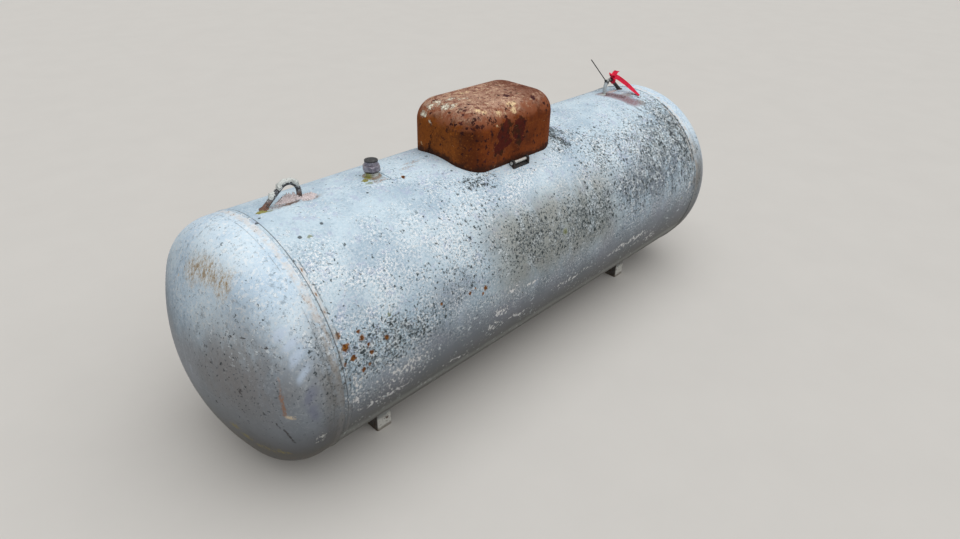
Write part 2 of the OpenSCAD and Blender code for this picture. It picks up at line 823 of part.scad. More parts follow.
// Small bleeder on its own boss, for reading the fixed liquid level
module level_vent() {
  color(brass) difference() {
    translate([vent_x, 0, axis_h]) {
      cylinder(d = vent_d, h = shell_r + vent_h, $fn = small_fn);
      translate([0, 0, shell_r + vent_h]) hexagon(vent_d, vent_hex_h);
      translate([0, 0, shell_r + vent_h + vent_hex_h])
        cylinder(d = vent_knob_d, h = vent_knob_h, $fn = small_fn);
    }
    shell_round(0);
  }
}

// Valve body with its hexagon and threaded throat
module screw_valve(x, hex_af, hex_h, throat_d, throat_h) {
  threaded_end(x);
  translate([x, 0, top_z + coupling_h]) {
    hexagon(hex_af, hex_h);
    cylinder(d = throat_d, h = hex_h + throat_h, $fn = small_fn);
  }
}

// Ribbed screw cap over a valve's throat, its lower edge on the hexagon
module screw_cap(x, hex_h, throat_d, throat_h, d, h, ribs) {
  translate([x, 0, top_z + coupling_h + hex_h + cap_gap]) difference() {
    union() {
      cylinder(d = d, h = h, $fn = small_fn);
      for (k = [0 : ribs - 1]) {
        rotate([0, 0, k * 360 / ribs]) translate([(d - cap_rib_d) / 2 + cap_rib_out, 0, 0])
          cylinder(d = cap_rib_d, h = h, $fn = 32);
      }
    }
    translate([0, 0, -through])
      cylinder(d = throat_d + 2 * cap_gap, h = throat_h + cap_gap + through, $fn = small_fn);
  }
}

module fill_valve() {
  color(brass) screw_valve(fill_x, fill_hex_af, fill_hex_h, fill_throat_d, fill_throat_h);
}

module fill_cap() {
  color(black) screw_cap(fill_x, fill_hex_h, fill_throat_d, fill_throat_h, fill_cap_d,
    fill_cap_h, fill_cap_ribs);
}

module vapour_valve() {
  color(brass) screw_valve(vapour_x, vapour_hex_af, vapour_hex_h, vapour_throat_d, vapour_throat_h);
}

module vapour_cap() {
  color("goldenrod") screw_cap(vapour_x, vapour_hex_h, vapour_throat_d, vapour_throat_h,
    vapour_cap_d, vapour_cap_h, vapour_cap_ribs);
}

// Bent channel, open towards the vessel's middle, its outer face on Y = 0
module channel_section() {
  intersection() {
    difference() {
      translate([0, leg_depth]) rounded_rect(leg_w, 2 * leg_depth, leg_bend_r);
      translate([0, leg_depth])
        rounded_rect(leg_w - 2 * leg_t, 2 * (leg_depth - leg_t), leg_bend_r - leg_t);
    }
    translate([-leg_w / 2, 0]) square([leg_w, leg_depth]);
  }
}

// Leg cut to the pad above it, with a foot plate bored for an anchor
module leg(side) {
  foot_l = leg_depth - leg_t;
  color(pale_paint) difference() {
    translate([leg_x * side, -leg_out_y, 0]) difference() {
      union() {
        linear_extrude(axis_h) channel_section();
        translate([-leg_w / 2 + leg_t, leg_t, 0]) cube([leg_w - 2 * leg_t, foot_l, foot_t]);
      }
      translate([0, leg_t + foot_l / 2, -through])
        cylinder(d = anchor_d, h = foot_t + 2 * through, $fn = small_fn);
    }
    shell_round(pad_t);
  }
}

module leg_front_near() {
  leg(-1);
}

module leg_front_far() {
  leg(1);
}

module leg_back_near() {
  mirror([0, 1, 0]) leg(-1);
}

module leg_back_far() {
  mirror([0, 1, 0]) leg(1);
}

// Curved doubling plates between the shell and the four legs
module leg_pads() {
  pad_l = leg_w + 2 * pad_reach;
  for (sx = [-1, 1], sy = [0, 1]) {
    color(paint) mirror([0, sy, 0]) translate([sx * leg_x, 0, 0]) along_x()
      rotate([0, 0, -pad_to]) rotate_extrude(angle = pad_to - pad_from, $fn = round_fn)
        translate([shell_r, -pad_l / 2]) square([pad_t, pad_l]);
  }
}

// Strap round the far lug's bend, its lock, and a thin stiff tail that stands up from it
module cable_tie() {
  strap_r = lug_bar_d / 2 + thread_gap;
  lock_l = 2 * tie_d;
  bend_at = [-lug_bend_r * cos(tie_place), 0, lug_bend_r * sin(tie_place)];
  color(black) on_lug(lug_far_turn) translate([lug_bend_x, 0, lug_bend_z]) translate(bend_at)
    rotate([0, tie_place, 0]) {
      difference() {
        union() {
          cylinder(r = strap_r + tie_strap_t, h = tie_strap_w, center = true, $fn = small_fn);
          translate([-strap_r - lock_l, -lock_l / 2, -tie_strap_w / 2])
            cube([lock_l, lock_l, tie_strap_w]);
        }
        cylinder(r = strap_r, h = 2 * tie_strap_w, center = true, $fn = small_fn);
      }
      translate([-strap_r - lock_l / 2, 0, 0]) rotate([-tie_back_lean, -tie_lean, 0])
        cylinder(d = tie_d, h = tie_tail_l, $fn = 32);
    }
}

// Ribbon tied round the far lug's sloping leg, its loose end down on the shell's front
module marker_ribbon() {
  knot_r = lug_bar_d / 2 + cap_gap;
  slope_turn = atan2(lug_foot_gap - lug_slope_x, -lug_slope_z);
  edge_y = ribbon_run * sin(ribbon_turn) - ribbon_w / 2 * cos(ribbon_turn);
  drop = lug_slope_z + shell_r - sqrt(pow(shell_r, 2) - pow(edge_y, 2)) - 1;
  start = knot_r + ribbon_knot_t / 2;
  middle = ribbon_run / 2;
  middle_drop = drop / 3;
  color(red) on_lug(lug_far_turn) translate([lug_slope_x, 0, lug_slope_z]) {
    rotate([0, slope_turn, 0]) difference() {
      cylinder(r = knot_r + ribbon_knot_t, h = ribbon_w, $fn = small_fn);
      translate([0, 0, -through]) cylinder(r = knot_r, h = ribbon_w + 2 * through, $fn = small_fn);
    }
    rotate([0, 0, -ribbon_turn]) translate([0, ribbon_w / 2, 0]) rotate([90, 0, 0])
      linear_extrude(ribbon_w) polygon([[start, 0], [middle, -middle_drop], [ribbon_run, -drop],
        [ribbon_run, ribbon_t - drop], [middle, ribbon_t - middle_drop], [start, ribbon_t]]);
  }
}

shell();
head_near();
head_far();
girth_weld_near();
girth_weld_far();
long_weld();
lug_near();
lug_far();
relief_coupling();
relief_valve();
rain_cap();
data_plate();
hood();
hood_ear_near();
hood_ear_far();
hinge_bracket_near();
hinge_bracket_far();
hinge_pin_near();
hinge_pin_far();
catch_bracket();
catch_bar();
service_coupling();
service_valve();
handwheel();
outlet_plug();
gauge_coupling();
float_gauge();
level_vent();
fill_coupling();
fill_valve();
fill_cap();
vapour_coupling();
vapour_valve();
vapour_cap();
leg_front_near();
leg_front_far();
leg_back_near();
leg_back_far();
leg_pads();
marker_ribbon();
cable_tie();
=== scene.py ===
import math
from functools import reduce
from operator import or_

import bpy
from mathutils import Matrix, Vector, noise


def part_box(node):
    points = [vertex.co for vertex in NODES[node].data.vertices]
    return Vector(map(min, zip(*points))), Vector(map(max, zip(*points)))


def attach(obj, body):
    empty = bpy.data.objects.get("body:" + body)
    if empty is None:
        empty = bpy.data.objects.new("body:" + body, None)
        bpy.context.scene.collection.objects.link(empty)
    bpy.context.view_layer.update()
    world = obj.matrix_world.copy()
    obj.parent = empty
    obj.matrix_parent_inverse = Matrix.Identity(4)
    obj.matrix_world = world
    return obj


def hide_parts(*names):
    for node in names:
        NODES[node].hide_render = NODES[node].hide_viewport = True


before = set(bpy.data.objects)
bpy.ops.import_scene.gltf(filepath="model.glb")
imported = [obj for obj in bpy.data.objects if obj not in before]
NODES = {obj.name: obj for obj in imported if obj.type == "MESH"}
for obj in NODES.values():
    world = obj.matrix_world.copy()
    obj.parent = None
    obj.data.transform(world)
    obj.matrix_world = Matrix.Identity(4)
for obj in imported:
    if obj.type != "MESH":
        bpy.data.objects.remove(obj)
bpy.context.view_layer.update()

# Sizes taken from the frame, in metres.
SHELL_LOW, SHELL_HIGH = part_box("shell")
SHELL_RADIUS = (SHELL_HIGH.z - SHELL_LOW.z) / 2
AXIS_Z = (SHELL_HIGH.z + SHELL_LOW.z) / 2
TOP_Z = SHELL_HIGH.z
SEAM_X = SHELL_HIGH.x
SKIRT_X = SEAM_X + 0.05  # where a head starts to curve
HOOD_LOW, HOOD_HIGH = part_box("hood")
HOOD_MIDDLE = (HOOD_LOW + HOOD_HIGH) / 2
GAUGE_LOW, GAUGE_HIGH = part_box("float_gauge")

# A lug's bent bar: its upright foot, the middle of its bend over that foot, and where its slope
# starts and ends.
LUG_X = 0.957
LUG_BEND = 0.042
LUG_BEND_Z = 0.025
LUG_SLOPE = (0.0679, 0.05805)
LUG_FOOT_GAP = 0.142
LUG_SLOPE_TURN = 51.9  # where the bend ends, in degrees above level
BAR_RADIUS = 0.0095
NEAR_LUG_TURN = 3  # degrees behind the top line
FAR_LUG_TURN = 5

# How finely the scene's own pieces are made.
WELD_STEPS = 72
WELD_SIDES = 10
WELD_RIPPLES = 24
FOOT_STEPS = 8
BEND_STEPS = 28
SLOPE_STEPS = 28
CRUST_RINGS = 15
CRUST_STEPS = 44
CRUST_SPREAD = 108  # degrees to either side of a lug's outer line
RIBBON_STEPS = 8
RIBBON_TURN_STEPS = 15
DIAL_STEPS = 64

# The float gauge's dial and needle.
DIAL_RADIUS = 0.0225
NEEDLE_LENGTH = 0.0165
NEEDLE_TURN = 38  # degrees from +Y towards +X

# The camera stands where the photograph was taken from.
CAMERA_PLACE = Vector((-2.045, -1.871, 1.975))
CAMERA_YAW = 47.08  # degrees from +Y towards +X
CAMERA_PITCH = 31.37  # degrees below level
CAMERA_ROLL = 1.79  # degrees, its right side raised
CAMERA_LENS = 24.3
SENSOR_WIDTH = 36

# An even overcast light: a plain world and one wide soft lamp overhead, leaning to the front.
WORLD_LEVEL = 0.28
LAMP_LEVEL = 2.25
LAMP_WIDTH = 90  # degrees of sky
LAMP_LEAN = 20  # degrees towards the front
BACKDROP_LEVEL = 0.62  # what the camera sees of the sky, next to the floor
FLOOR_HALF = 150  # from the middle to each edge
FLOOR_SEEN = (214, 211, 206)
FLOOR_BOUNCE = (46, 43, 40)  # what the floor throws back on the object, as dark gravel does


def metres(lengths):
    """Lengths in millimetres, which may be nested, turned into metres."""
    return tuple(metres(part) for part in lengths) if isinstance(lengths, tuple) else lengths / 1000


def tone(red, green, blue):
    """A colour given as it looks on screen, 0 to 255, turned into the linear values that the nodes take."""
    linear = []
    for part in (red, green, blue):
        share = part / 255
        linear.append(share / 12.92 if share <= 0.04045 else ((share + 0.055) / 1.055) ** 2.4)
    return (*linear, 1)


class Field:
    """A value that varies over a surface. Fields stand in formulas, where | takes the larger of two."""

    def __init__(self, paint, socket):
        self.paint = paint
        self.socket = socket

    def __add__(self, other):
        return self.paint.maths("ADD", self, other)

    def __sub__(self, other):
        return self.paint.maths("SUBTRACT", self, other)

    def __rsub__(self, other):
        return self.paint.maths("SUBTRACT", other, self)

    def __mul__(self, other):
        return self.paint.maths("MULTIPLY", self, other)

    def __abs__(self):
        return self.paint.maths("ABSOLUTE", self)

    def __or__(self, other):
        return self.paint.maths("MAXIMUM", self, other)

    __radd__ = __add__
    __rmul__ = __mul__

    def rise(self, start, end):
        """0 up to start and 1 from end on, smooth between. An end below the start makes it fall."""
        inputs = {"Value": self, "From Min": start, "From Max": end}
        node = self.paint.node("MapRange", inputs, interpolation_type="SMOOTHSTEP")
        return Field(self.paint, node.outputs["Result"])

    def band(self, start, end, soft):
        """1 between start and end, and 0 outside them."""
        return self.rise(start - soft, start + soft) * self.rise(end + soft, end - soft)


def union(fields):
    """The largest of several fields at each place."""
    return reduce(or_, fields)


class Paint:
    """One material, whose nodes are written as formulas over the piece's own coordinates in metres."""

    def __init__(self, name, roughness=0.6, metallic=0.0, gloss=0.5):
        self.material = bpy.data.materials.new(name)
        self.material.use_nodes = True
        self.tree = self.material.node_tree
        self.shader = self.tree.nodes["Principled BSDF"]
        self.shader.inputs["Roughness"].default_value = roughness
        self.shader.inputs["Metallic"].default_value = metallic
        self.shader.inputs["Specular IOR Level"].default_value = gloss
        coordinates = self.tree.nodes.new("ShaderNodeTexCoord")
        self.place = Field(self, coordinates.outputs["Object"])
        self.facing = Field(self, coordinates.outputs["Normal"])
        self.x, self.y, self.z = self.split(self.place)
        self.colour = None

    def wire(self, value, socket):
        """Puts a field, a number, a vector or a colour on a node's input."""
        if isinstance(value, Field):
            self.tree.links.new(value.socket, socket)
        else:
            socket.default_value = value

    def node(self, kind, inputs, **settings):
        """A new node with its settings made first and then its inputs filled."""
        node = self.tree.nodes.new("ShaderNode" + kind)
        for name, setting in settings.items():
            setattr(node, name, setting)
        for key, value in inputs.items():
            self.wire(value, node.inputs[key])
        return node

    def maths(self, operation, first, second=0.0):
        return Field(self, self.node("Math", {0: first, 1: second}, operation=operation).outputs[0])

    def vector(self, operation, first, second=(0, 0, 0)):
        node = self.node("VectorMath", {0: first, 1: second}, operation=operation)
        measures = operation in ("LENGTH", "DISTANCE", "DOT_PRODUCT")
        return Field(self, node.outputs["Value" if measures else "Vector"])

    def split(self, place):
        return [Field(self, output) for output in self.node("SeparateXYZ", {0: place}).outputs]

    def join(self, x, y, z):
        return Field(self, self.node("CombineXYZ", {0: x, 1: y, 2: z}).outputs[0])

    def moved(self, place, shift):
        """The place shifted, so that a texture there has another pattern of the same kind."""
        return self.vector("ADD", place, (shift, shift * 0.37, shift * 0.71)) if shift else place

    def noise(self, place, per_metre, detail, roughness=0.7, shift=0.0, output="Fac"):
        """Cloudy noise with an average of one half."""
        inputs = {
            "Vector": self.moved(place, shift),
            "Scale": per_metre,
            "Detail": detail,
            "Roughness": roughness,
        }
        return Field(self, self.node("TexNoise", inputs).outputs[output])

    def dots(self, place, per_metre, share, size, flat=False, shift=0.0):
        """Round dots of uneven size, one to a cell at most. Share is how many of the cells have one."""
        inputs = {"Vector": self.moved(place, shift), "Scale": per_metre}
        node = self.node("TexVoronoi", inputs, voronoi_dimensions="2D" if flat else "3D")
        chance, girth, _ = self.split(Field(self, node.outputs["Color"]))
        radius = (girth * 0.7 + 0.3) * size
        away = Field(self, node.outputs["Distance"])
        return away.rise(radius, radius * 0.75) * chance.rise(share, share - 0.02)

    def stroke(self, place, start, end, width):
        """1 along a straight scratch from start to end, and 0 past its width."""
        run = Vector(end) - Vector(start)
        off = self.vector("SUBTRACT", place, start)
        share = self.vector("DOT_PRODUCT", off, tuple(run / run.length_squared))
        share = self.maths("MINIMUM", self.maths("MAXIMUM", share, 0.0), 1.0)
        nearest = self.vector("MULTIPLY", self.join(share, share, share), tuple(run))
        return self.vector("DISTANCE", off, nearest).rise(width, width * 0.4)

    def stretched(self, place, upward):
        """The place with its height scaled down, so that what is drawn there runs down in streaks."""
        return self.vector("MULTIPLY", place, (1, 1, upward))

    def ragged(self, place, per_metre, reach, detail=2.0):
        """The same place pushed about by noise, so that what is drawn there gets an uneven edge."""
        push = self.noise(place, per_metre, detail, 0.6, output="Color")
        push = self.vector("SUBTRACT", push, (0.5, 0.5, 0.5))
        push = self.vector("MULTIPLY", push, (reach, reach, reach))
        return self.vector("ADD", place, push)

    def patch(self, place, centre, reach, soft=0.5):
        """1 at the centre of an oval patch and 0 past its reach, which is one length or three."""
        sizes = reach if isinstance(reach, tuple) else (reach, reach, reach)
        away = self.vector("DIVIDE", self.vector("SUBTRACT", place, centre), sizes)
        return self.vector("LENGTH", away).rise(1.0, 1.0 - soft)

    def patches(self, place, marks, soft=0.5):
        """The union of several patches, each given as a centre and a reach."""
        return union(self.patch(place, centre, reach, soft) for centre, reach in marks)

    def mix(self, under, over, share):
        """One colour over another by a share from 0 to 1. Each is a field, or the three numbers of a tone."""
        colours = [tone(*colour) if isinstance(colour, tuple) else colour for colour in (under, over)]
        inputs = {0: share, 6: colours[0], 7: colours[1]}
        node = self.node("Mix", inputs, data_type="RGBA", clamp_factor=True)
        return Field(self, node.outputs[2])

    def lay(self, over, share):
        """Lays a colour over the material's own."""
        self.colour = self.mix(self.colour, over, share)

    def bump(self, height, depth):
        """Tilts the surface as if height, from 0 to 1, were a real relief of that depth in metres."""
        node = self.node("Bump", {"Distance": depth, "Height": height})
        self.tree.links.new(node.outputs[0], self.shader.inputs["Normal"])

    def finish(self, roughness=None, metallic=None):
        """Puts the colour and what else is given on the shader, and hands back the material."""
        for name, value in (("Base Color", self.colour), ("Roughness", roughness), ("Metallic", metallic)):
            if value is not None:
                self.wire(value, self.shader.inputs[name])
        return self.material


# Marks on the barrel are given as the place along the tank in metres and the turn from the top in
# degrees, towards the front. A rust spot then has its reach, the others have their width and depth,
# and a lichen field its strength.
ARC = math.radians(1) * SHELL_RADIUS


def wrapped(along, turn):
    """A place on the barrel unrolled flat."""
    return (along, turn * ARC, 0)


RUST_SPOTS = (
    (-1.148, 64.3, 0.013),
    (-1.134, 69.8, 0.018),
    (-1.117, 75.6, 0.014),
    (-1.153, 76.5, 0.009),
    (-1.073, 66.6, 0.009),
    (-1.068, 69.5, 0.013),
    (-1.050, 73.6, 0.009),
    (-1.046, 77.1, 0.011),
    (-0.978, 74.5, 0.012),
    (-1.062, 81.7, 0.008),
    (-1.089, 82.8, 0.010),
    (-0.720, 72.9, 0.008),
    (-0.578, 75.0, 0.009),
    (-0.546, 74.3, 0.007),
    (-0.513, 78.6, 0.008),
    (-0.496, 76.6, 0.013),
    (-0.565, 9.2, 0.012),
)
FLAKED_PAINT = (
    (-1.12, 87, 0.035, 0.06),
    (-1.12, 98, 0.02, 0.08),
    (-1.05, 104, 0.07, 0.03),
    (-0.96, 105, 0.10, 0.03),
    (-0.90, 93, 0.16, 0.03),
    (-0.78, 117, 0.09, 0.02),
    (-0.64, 110, 0.10, 0.02),
    (-0.40, 94, 0.07, 0.035),
    (-0.45, 102, 0.04, 0.04),
    (-0.35, 85, 0.05, 0.02),
    (-0.22, 88, 0.07, 0.015),
    (-0.30, 104, 0.15, 0.02),
    (0.10, 101, 0.20, 0.02),
    (0.55, 100, 0.30, 0.02),
    (0.79, 108, 0.07, 0.03),
    (1.11, 82, 0.02, 0.07),
)
LICHEN_FIELDS = (
    (-0.95, 77, 0.36, 0.13, 1.25),
    (-0.62, 64, 0.30, 0.14, 0.3),
    (-0.42, 48, 0.30, 0.14, 0.2),
    (-0.14, 66, 0.40, 0.17, 1.1),
    (0.22, 68, 0.40, 0.17, 1.25),
    (-0.30, 28, 0.16, 0.06, 0.9),
    (0.30, 22, 0.16, 0.14, 1.0),
    (0.48, 40, 0.30, 0.20, 0.75),
    (0.62, 66, 0.42, 0.18, 1.1),
    (0.88, 52, 0.36, 0.30, 1.35),
    (1.10, 46, 0.17, 0.40, 1.9),
)
BARE_FIELDS = (
    (-0.98, 12, 0.32, 0.17),
    (-0.70, 22, 0.20, 0.10),
    (0.06, 40, 0.14, 0.05),
    (-0.50, 79, 0.13, 0.035),
)
COAT_EDGE = 86  # degrees from the top, below which the smooth coat has stayed


def on_barrel(paint, place, marks, soft, scale=1):
    """Oval patches on the barrel, each given as its place along, its turn, its width and its depth."""
    ovals = [(wrapped(along, turn), (wide * scale, deep * scale, 1)) for along, turn, wide, deep in marks]
    return paint.patches(place, ovals, soft)


def crusts(paint, place, flat, density, pale_share):
    """Lays dark lichen dots of three sizes and pale crusts, as thick as density says. Gives their relief."""
    torn = paint.ragged(place, 110, 0.022)
    pale = paint.noise(place, 42, 4, 0.7, 41.0)
    crust = pale.rise(0.63 - density * 0.10, 0.66 - density * 0.10)
    paint.lay((240, 248, 252), crust * pale_share)
    veil = paint.noise(place, 30, 5, 0.75, 13.0)
    edge = 0.64 - density * 0.12
    paint.lay((112, 122, 124), veil.rise(edge, edge + 0.05) * density * 0.3)
    blots = paint.noise(place, 50, 4, 0.75, 61.0).rise(0.76 - density * 0.13, 0.79 - density * 0.13)
    paint.lay((58, 66, 70), blots * 0.85)
    small = paint.dots(torn, 135, density * 0.95, 0.52, flat, 1.7)
    middle = paint.dots(torn, 84, density * 0.75, 0.42, flat, 5.1)
    large = paint.dots(torn, 46, density * 0.45, 0.38, flat, 9.3)
    paint.lay((90, 102, 108), small * 0.8)
    paint.lay((58, 68, 72), middle * 0.85)
    paint.lay((46, 56, 58), large * 0.9)
    return crust * 0.5 + (small | middle | large) * 0.7


def barrel_paint():
    """Old silver paint: chalky above, thick with lichen on the flanks, smooth and flaking below, and darkened
    towards the bottom by painted shade.
    """
    paint = Paint("barrel_paint", roughness=0.6, gloss=0.35)
    x = paint.x
    side = paint.maths("ARCTAN2", paint.y * -1, paint.z - AXIS_Z) * math.degrees(1)
    turn = abs(side)
    front = paint.join(x, side * ARC, 0.0)
    both = paint.join(x, turn * ARC, 0.0)
    run = paint.join(x, side * (ARC * 0.45), 0.0)

    clouds = paint.noise(front, 4.5, 4, 0.6)
    wobble = paint.noise(run, 7, 5, 0.7, 3.1)
    fine = paint.noise(front, 105, 4, 0.85, 7.7)
    coarse = paint.noise(front, 84, 4, 0.85, 1.9)
    broad = paint.noise(front, 22, 4, 0.7, 33.0)
    level = turn + (wobble - 0.5) * 40 - x.rise(-0.72, -0.92) * 3
    coat = level.rise(COAT_EDGE - 13, COAT_EDGE + 10)
    deep = level.rise(COAT_EDGE, COAT_EDGE + 18)
    bulge = paint.patch(paint.ragged(front, 9, 0.12, 4), wrapped(-0.66, 73), (0.20, 0.14, 1), 0.9)
    coat = coat | bulge * 0.75
    upper = paint.mix((176, 198, 214), (205, 225, 237), clouds.rise(0.36, 0.60))
    lower = paint.mix((134, 144, 154), (150, 156, 168), clouds.rise(0.40, 0.62))
    # Painted shade: the lower coat is darkened towards the bottom of the barrel.
    lower = paint.mix(lower, (106, 104, 98), turn.rise(86, 122) * 0.95)
    paint.colour = paint.mix(upper, lower, coat)

    # Chalk: white and grey grains, thick from a little below the top line.
    bare = on_barrel(paint, both, BARE_FIELDS, 0.5)
    calm = paint.noise(front, 8, 4, 0.65, 47.0)
    grainy = (turn.rise(6, 30) * 0.35 + 0.65) * (1 - bare * 0.40) * (1 - deep)
    grainy = grainy * (calm.rise(0.38, 0.60) * 0.65 + 0.35)
    paint.lay((180, 188, 214), broad.rise(0.54, 0.64) * (1 - coat) * 0.5)
    soiled = grainy * (turn.rise(50, 72) * 0.30 + 0.65)
    paint.lay((134, 152, 164), coarse.rise(0.53, 0.58) * soiled)
    whiter = turn.band(34, 62, 8) * 0.025
    white_grain = fine.rise(0.53 - whiter, 0.57 - whiter)
    paint.lay((252, 254, 255), white_grain * grainy * 0.95)
    paint.lay((92, 106, 114), fine.rise(0.42, 0.38) * soiled)

    density = union(paint.patch(both, wrapped(along, at), (wide, deep, 1), 0.9) * strength
                    for along, at, wide, deep, strength in LICHEN_FIELDS)
    clumps = paint.noise(run, 15, 4, 0.65, 5.3)
    density = (density * (clumps.rise(0.30, 0.56) * 0.7 + 0.3) + 0.05) * (1 - bare * 0.6)
    density = density * (1 - deep * 0.95)

    # Grey-brown film where water has stood on the flank.
    film = paint.noise(run, 6, 5, 0.65, 17.0)
    belt = turn.band(48, 86, 9) * x.band(-0.42, 0.40, 0.16)
    belt = belt * film.rise(0.24, 0.48)
    paint.lay((146, 144, 132), belt * 0.75)
    grey_flank = paint.patch(both, wrapped(0.75, 66), (0.55, 0.20, 1), 0.9)
    paint.lay((128, 132, 142), grey_flank * clumps.rise(0.36, 0.56) * 0.7)
    relief = crusts(paint, front, True, density, 0.85 - belt * 0.5)
    drips = paint.noise(paint.join(x, side * (ARC * 0.35), 0.0), 58, 3, 0.65, 71.0)
    drips = drips.rise(0.58, 0.63) * x.rise(0.78, 1.04) * turn.band(16, 84, 8)
    paint.lay((52, 58, 66), drips * 0.9)

    # Flaked paint low on the flank, with a pale splash line near the bottom.
    flakes = on_barrel(paint, paint.ragged(front, 16, 0.09, 4), FLAKED_PAINT, 0.8, 1.3)
    splash = turn.band(104, 124, 6) * 0.5
    chips = paint.noise(paint.join(x, side * (ARC * 0.8), 0.0), 84, 4, 0.65, 23.0)
    chip_field = paint.patch(both, wrapped(-0.92, 96), (0.36, 0.18, 1), 0.9)
    chip_field = chip_field | paint.patch(both, wrapped(0.60, 104), (0.50, 0.08, 1), 0.9) * 0.7
    lift = 0.70 - (flakes * 1.5 | chip_field | splash * 0.7) * 0.14
    chipped = chips.rise(lift, lift + 0.03) * turn.rise(70, 80)
    paint.lay((255, 255, 254), chipped)
    outline = (turn + (wobble - 0.5) * 8).band(116, 122, 2.5)
    paint.lay((196, 200, 196), outline * 0.5)

    rusty = [(wrapped(along, at), reach) for along, at, reach in RUST_SPOTS]
    spots = paint.patches(paint.ragged(front, 90, 0.020, 3), rusty)
    paint.lay((152, 98, 34), spots)
    paint.lay((92, 50, 18), spots.rise(0.5, 1.0) * coarse.rise(0.46, 0.52))

    seam_dirt(paint, run, turn)
    barrel_marks(paint, front, fine)
    paint.bump(fine * 0.35 * (1 - coat) + relief + chipped * -0.7 + clouds * 0.4, 0.0016)
    return paint.finish(0.78 - coat * 0.28)


def barrel_marks(paint, front, fine):
    """Single marks: moss, scratches, the dirt round the hood, the relief valve and the lugs, and a painted
    shadow along the near lug's crust.
    """
    torn = paint.ragged(front, 45, 0.03, 4)
    soft = paint.ragged(front, 14, 0.06, 4)
    round_hood = paint.patch(soft, wrapped(HOOD_MIDDLE.x, 1.5), (0.37, 0.29, 1), 0.35)
    paint.lay((150, 122, 98), round_hood * fine.rise(0.40, 0.66) * 0.6)
    hood_corner = on_barrel(paint, torn, (
        (-0.35, 25, 0.040, 0.007),
        (-0.315, 28, 0.040, 0.008),
        (-0.28, 31, 0.030, 0.007),
        (-0.25, 34, 0.030, 0.006),
        (0.27, 16, 0.026, 0.060),
        (0.31, 12, 0.026, 0.045),
        (0.29, 24, 0.022, 0.050),
    ), 0.5)
    paint.lay((52, 58, 58), hood_corner * fine.rise(0.42, 0.50) * 0.95)
    moss = on_barrel(paint, torn, (
        (0.02, 70, 0.020, 0.022),
        (1.04, 89, 0.010, 0.010),
        (-1.059, 22.8, 0.016, 0.010),
        (-0.945, 66, 0.008, 0.010),
        (-0.70, 5, 0.020, 0.012),
        (-1.10, 0, 0.026, 0.010),
    ), 0.6)
    paint.lay((118, 122, 56), moss * 0.7)
    # Painted shadow: a dark line on the shell along the front edge of the near lug's crust.
    lug_crust_shadow = paint.patch(torn, wrapped(-1.005, -0.2), (0.052, 0.008, 1), 0.5)
    paint.lay((44, 38, 36), lug_crust_shadow * 0.95)
    lug_soil = on_barrel(paint, torn, (
        (-1.02, -1, 0.095, 0.026),
        (-0.93, 1, 0.055, 0.026),
        (1.02, 6, 0.090, 0.040),
        (0.98, 12, 0.050, 0.030),
        (1.03, 17, 0.040, 0.040),
    ), 0.7)
    paint.lay((136, 112, 100), lug_soil * fine.rise(0.36, 0.56) * 0.9)
    smear = paint.stroke(torn, wrapped(0.955, -5), wrapped(0.985, 14), 0.062)
    paint.lay((142, 108, 114), smear * fine.rise(0.34, 0.50) * 0.9)
    smear_core = paint.stroke(torn, wrapped(0.950, -3), wrapped(0.985, 6), 0.034)
    paint.lay((92, 60, 60), smear_core * fine.rise(0.42, 0.50) * 0.9)
    plate_rust = on_barrel(paint, torn, (
        (-0.45, -0.5, 0.060, 0.016),
        (-0.50, 3, 0.050, 0.016),
        (-0.655, 6, 0.050, 0.020),
    ), 0.7)
    paint.lay((146, 106, 74), plate_rust * fine.rise(0.44, 0.60) * 0.85)
    scratch = paint.patch(paint.ragged(front, 20, 0.012, 2), wrapped(0.216, 49), (0.006, 0.036, 1), 0.8)
    paint.lay((226, 232, 234), scratch * 0.9)
    dots = paint.patches(paint.ragged(front, 90, 0.006), (
        (wrapped(-1.169, 6.2), 0.008),
        (wrapped(-1.091, 21.6), 0.009),
        (wrapped(-0.991, 18.9), 0.008),
        (wrapped(-0.748, 11.2), 0.006),
        (wrapped(-1.145, 3.0), 0.006),
    ), 0.4)
    paint.lay((60, 66, 68), dots * 0.85)


def seam_dirt(paint, run, turn):
    """The groove, pale band and rust along a girth seam, and the line where the head starts to curve."""
    off_seam = abs(paint.x) - SEAM_X
    grit = paint.noise(run, 46, 4, 0.7, 29.0)
    long_grit = paint.noise(run, 14, 4, 0.7, 31.0)
    groove = off_seam.band(-0.0085, -0.0050, 0.0015) * long_grit.rise(0.36, 0.48)
    inner = off_seam.band(-0.025, -0.021, 0.002) * grit.rise(0.46, 0.54) * turn.rise(20, 34)
    groove = groove | inner * 0.8
    second = off_seam.band(0.0465, 0.0495, 0.0015) * long_grit.rise(0.60, 0.46)
    pale = off_seam.band(0.006, 0.030, 0.006)
    pale = pale | off_seam.band(-0.019, -0.010, 0.003) * turn.rise(20, 34)
    pale = pale * (1 - turn.rise(70, 84) * 0.8)
    paint.lay((228, 224, 220), pale * grit.rise(0.38, 0.56) * 0.7)
    rusty = pale * grit.rise(0.585, 0.66) * long_grit.rise(0.44, 0.56)
    paint.lay((164, 116, 66), rusty * 0.85)
    soil = off_seam.band(-0.030, 0.048, 0.014) * turn.rise(36, 74)
    soil = soil * (1 - turn.rise(80, 92) * 0.6)
    paint.lay((122, 116, 106), soil * grit.rise(0.40, 0.60) * 0.55)
    blots = grit.rise(0.62, 0.70) * off_seam.band(-0.02, 0.05, 0.01)
    paint.lay((70, 70, 68), blots * 0.6)
    paint.lay((84, 86, 86), (groove | second * 0.5) * 0.85)


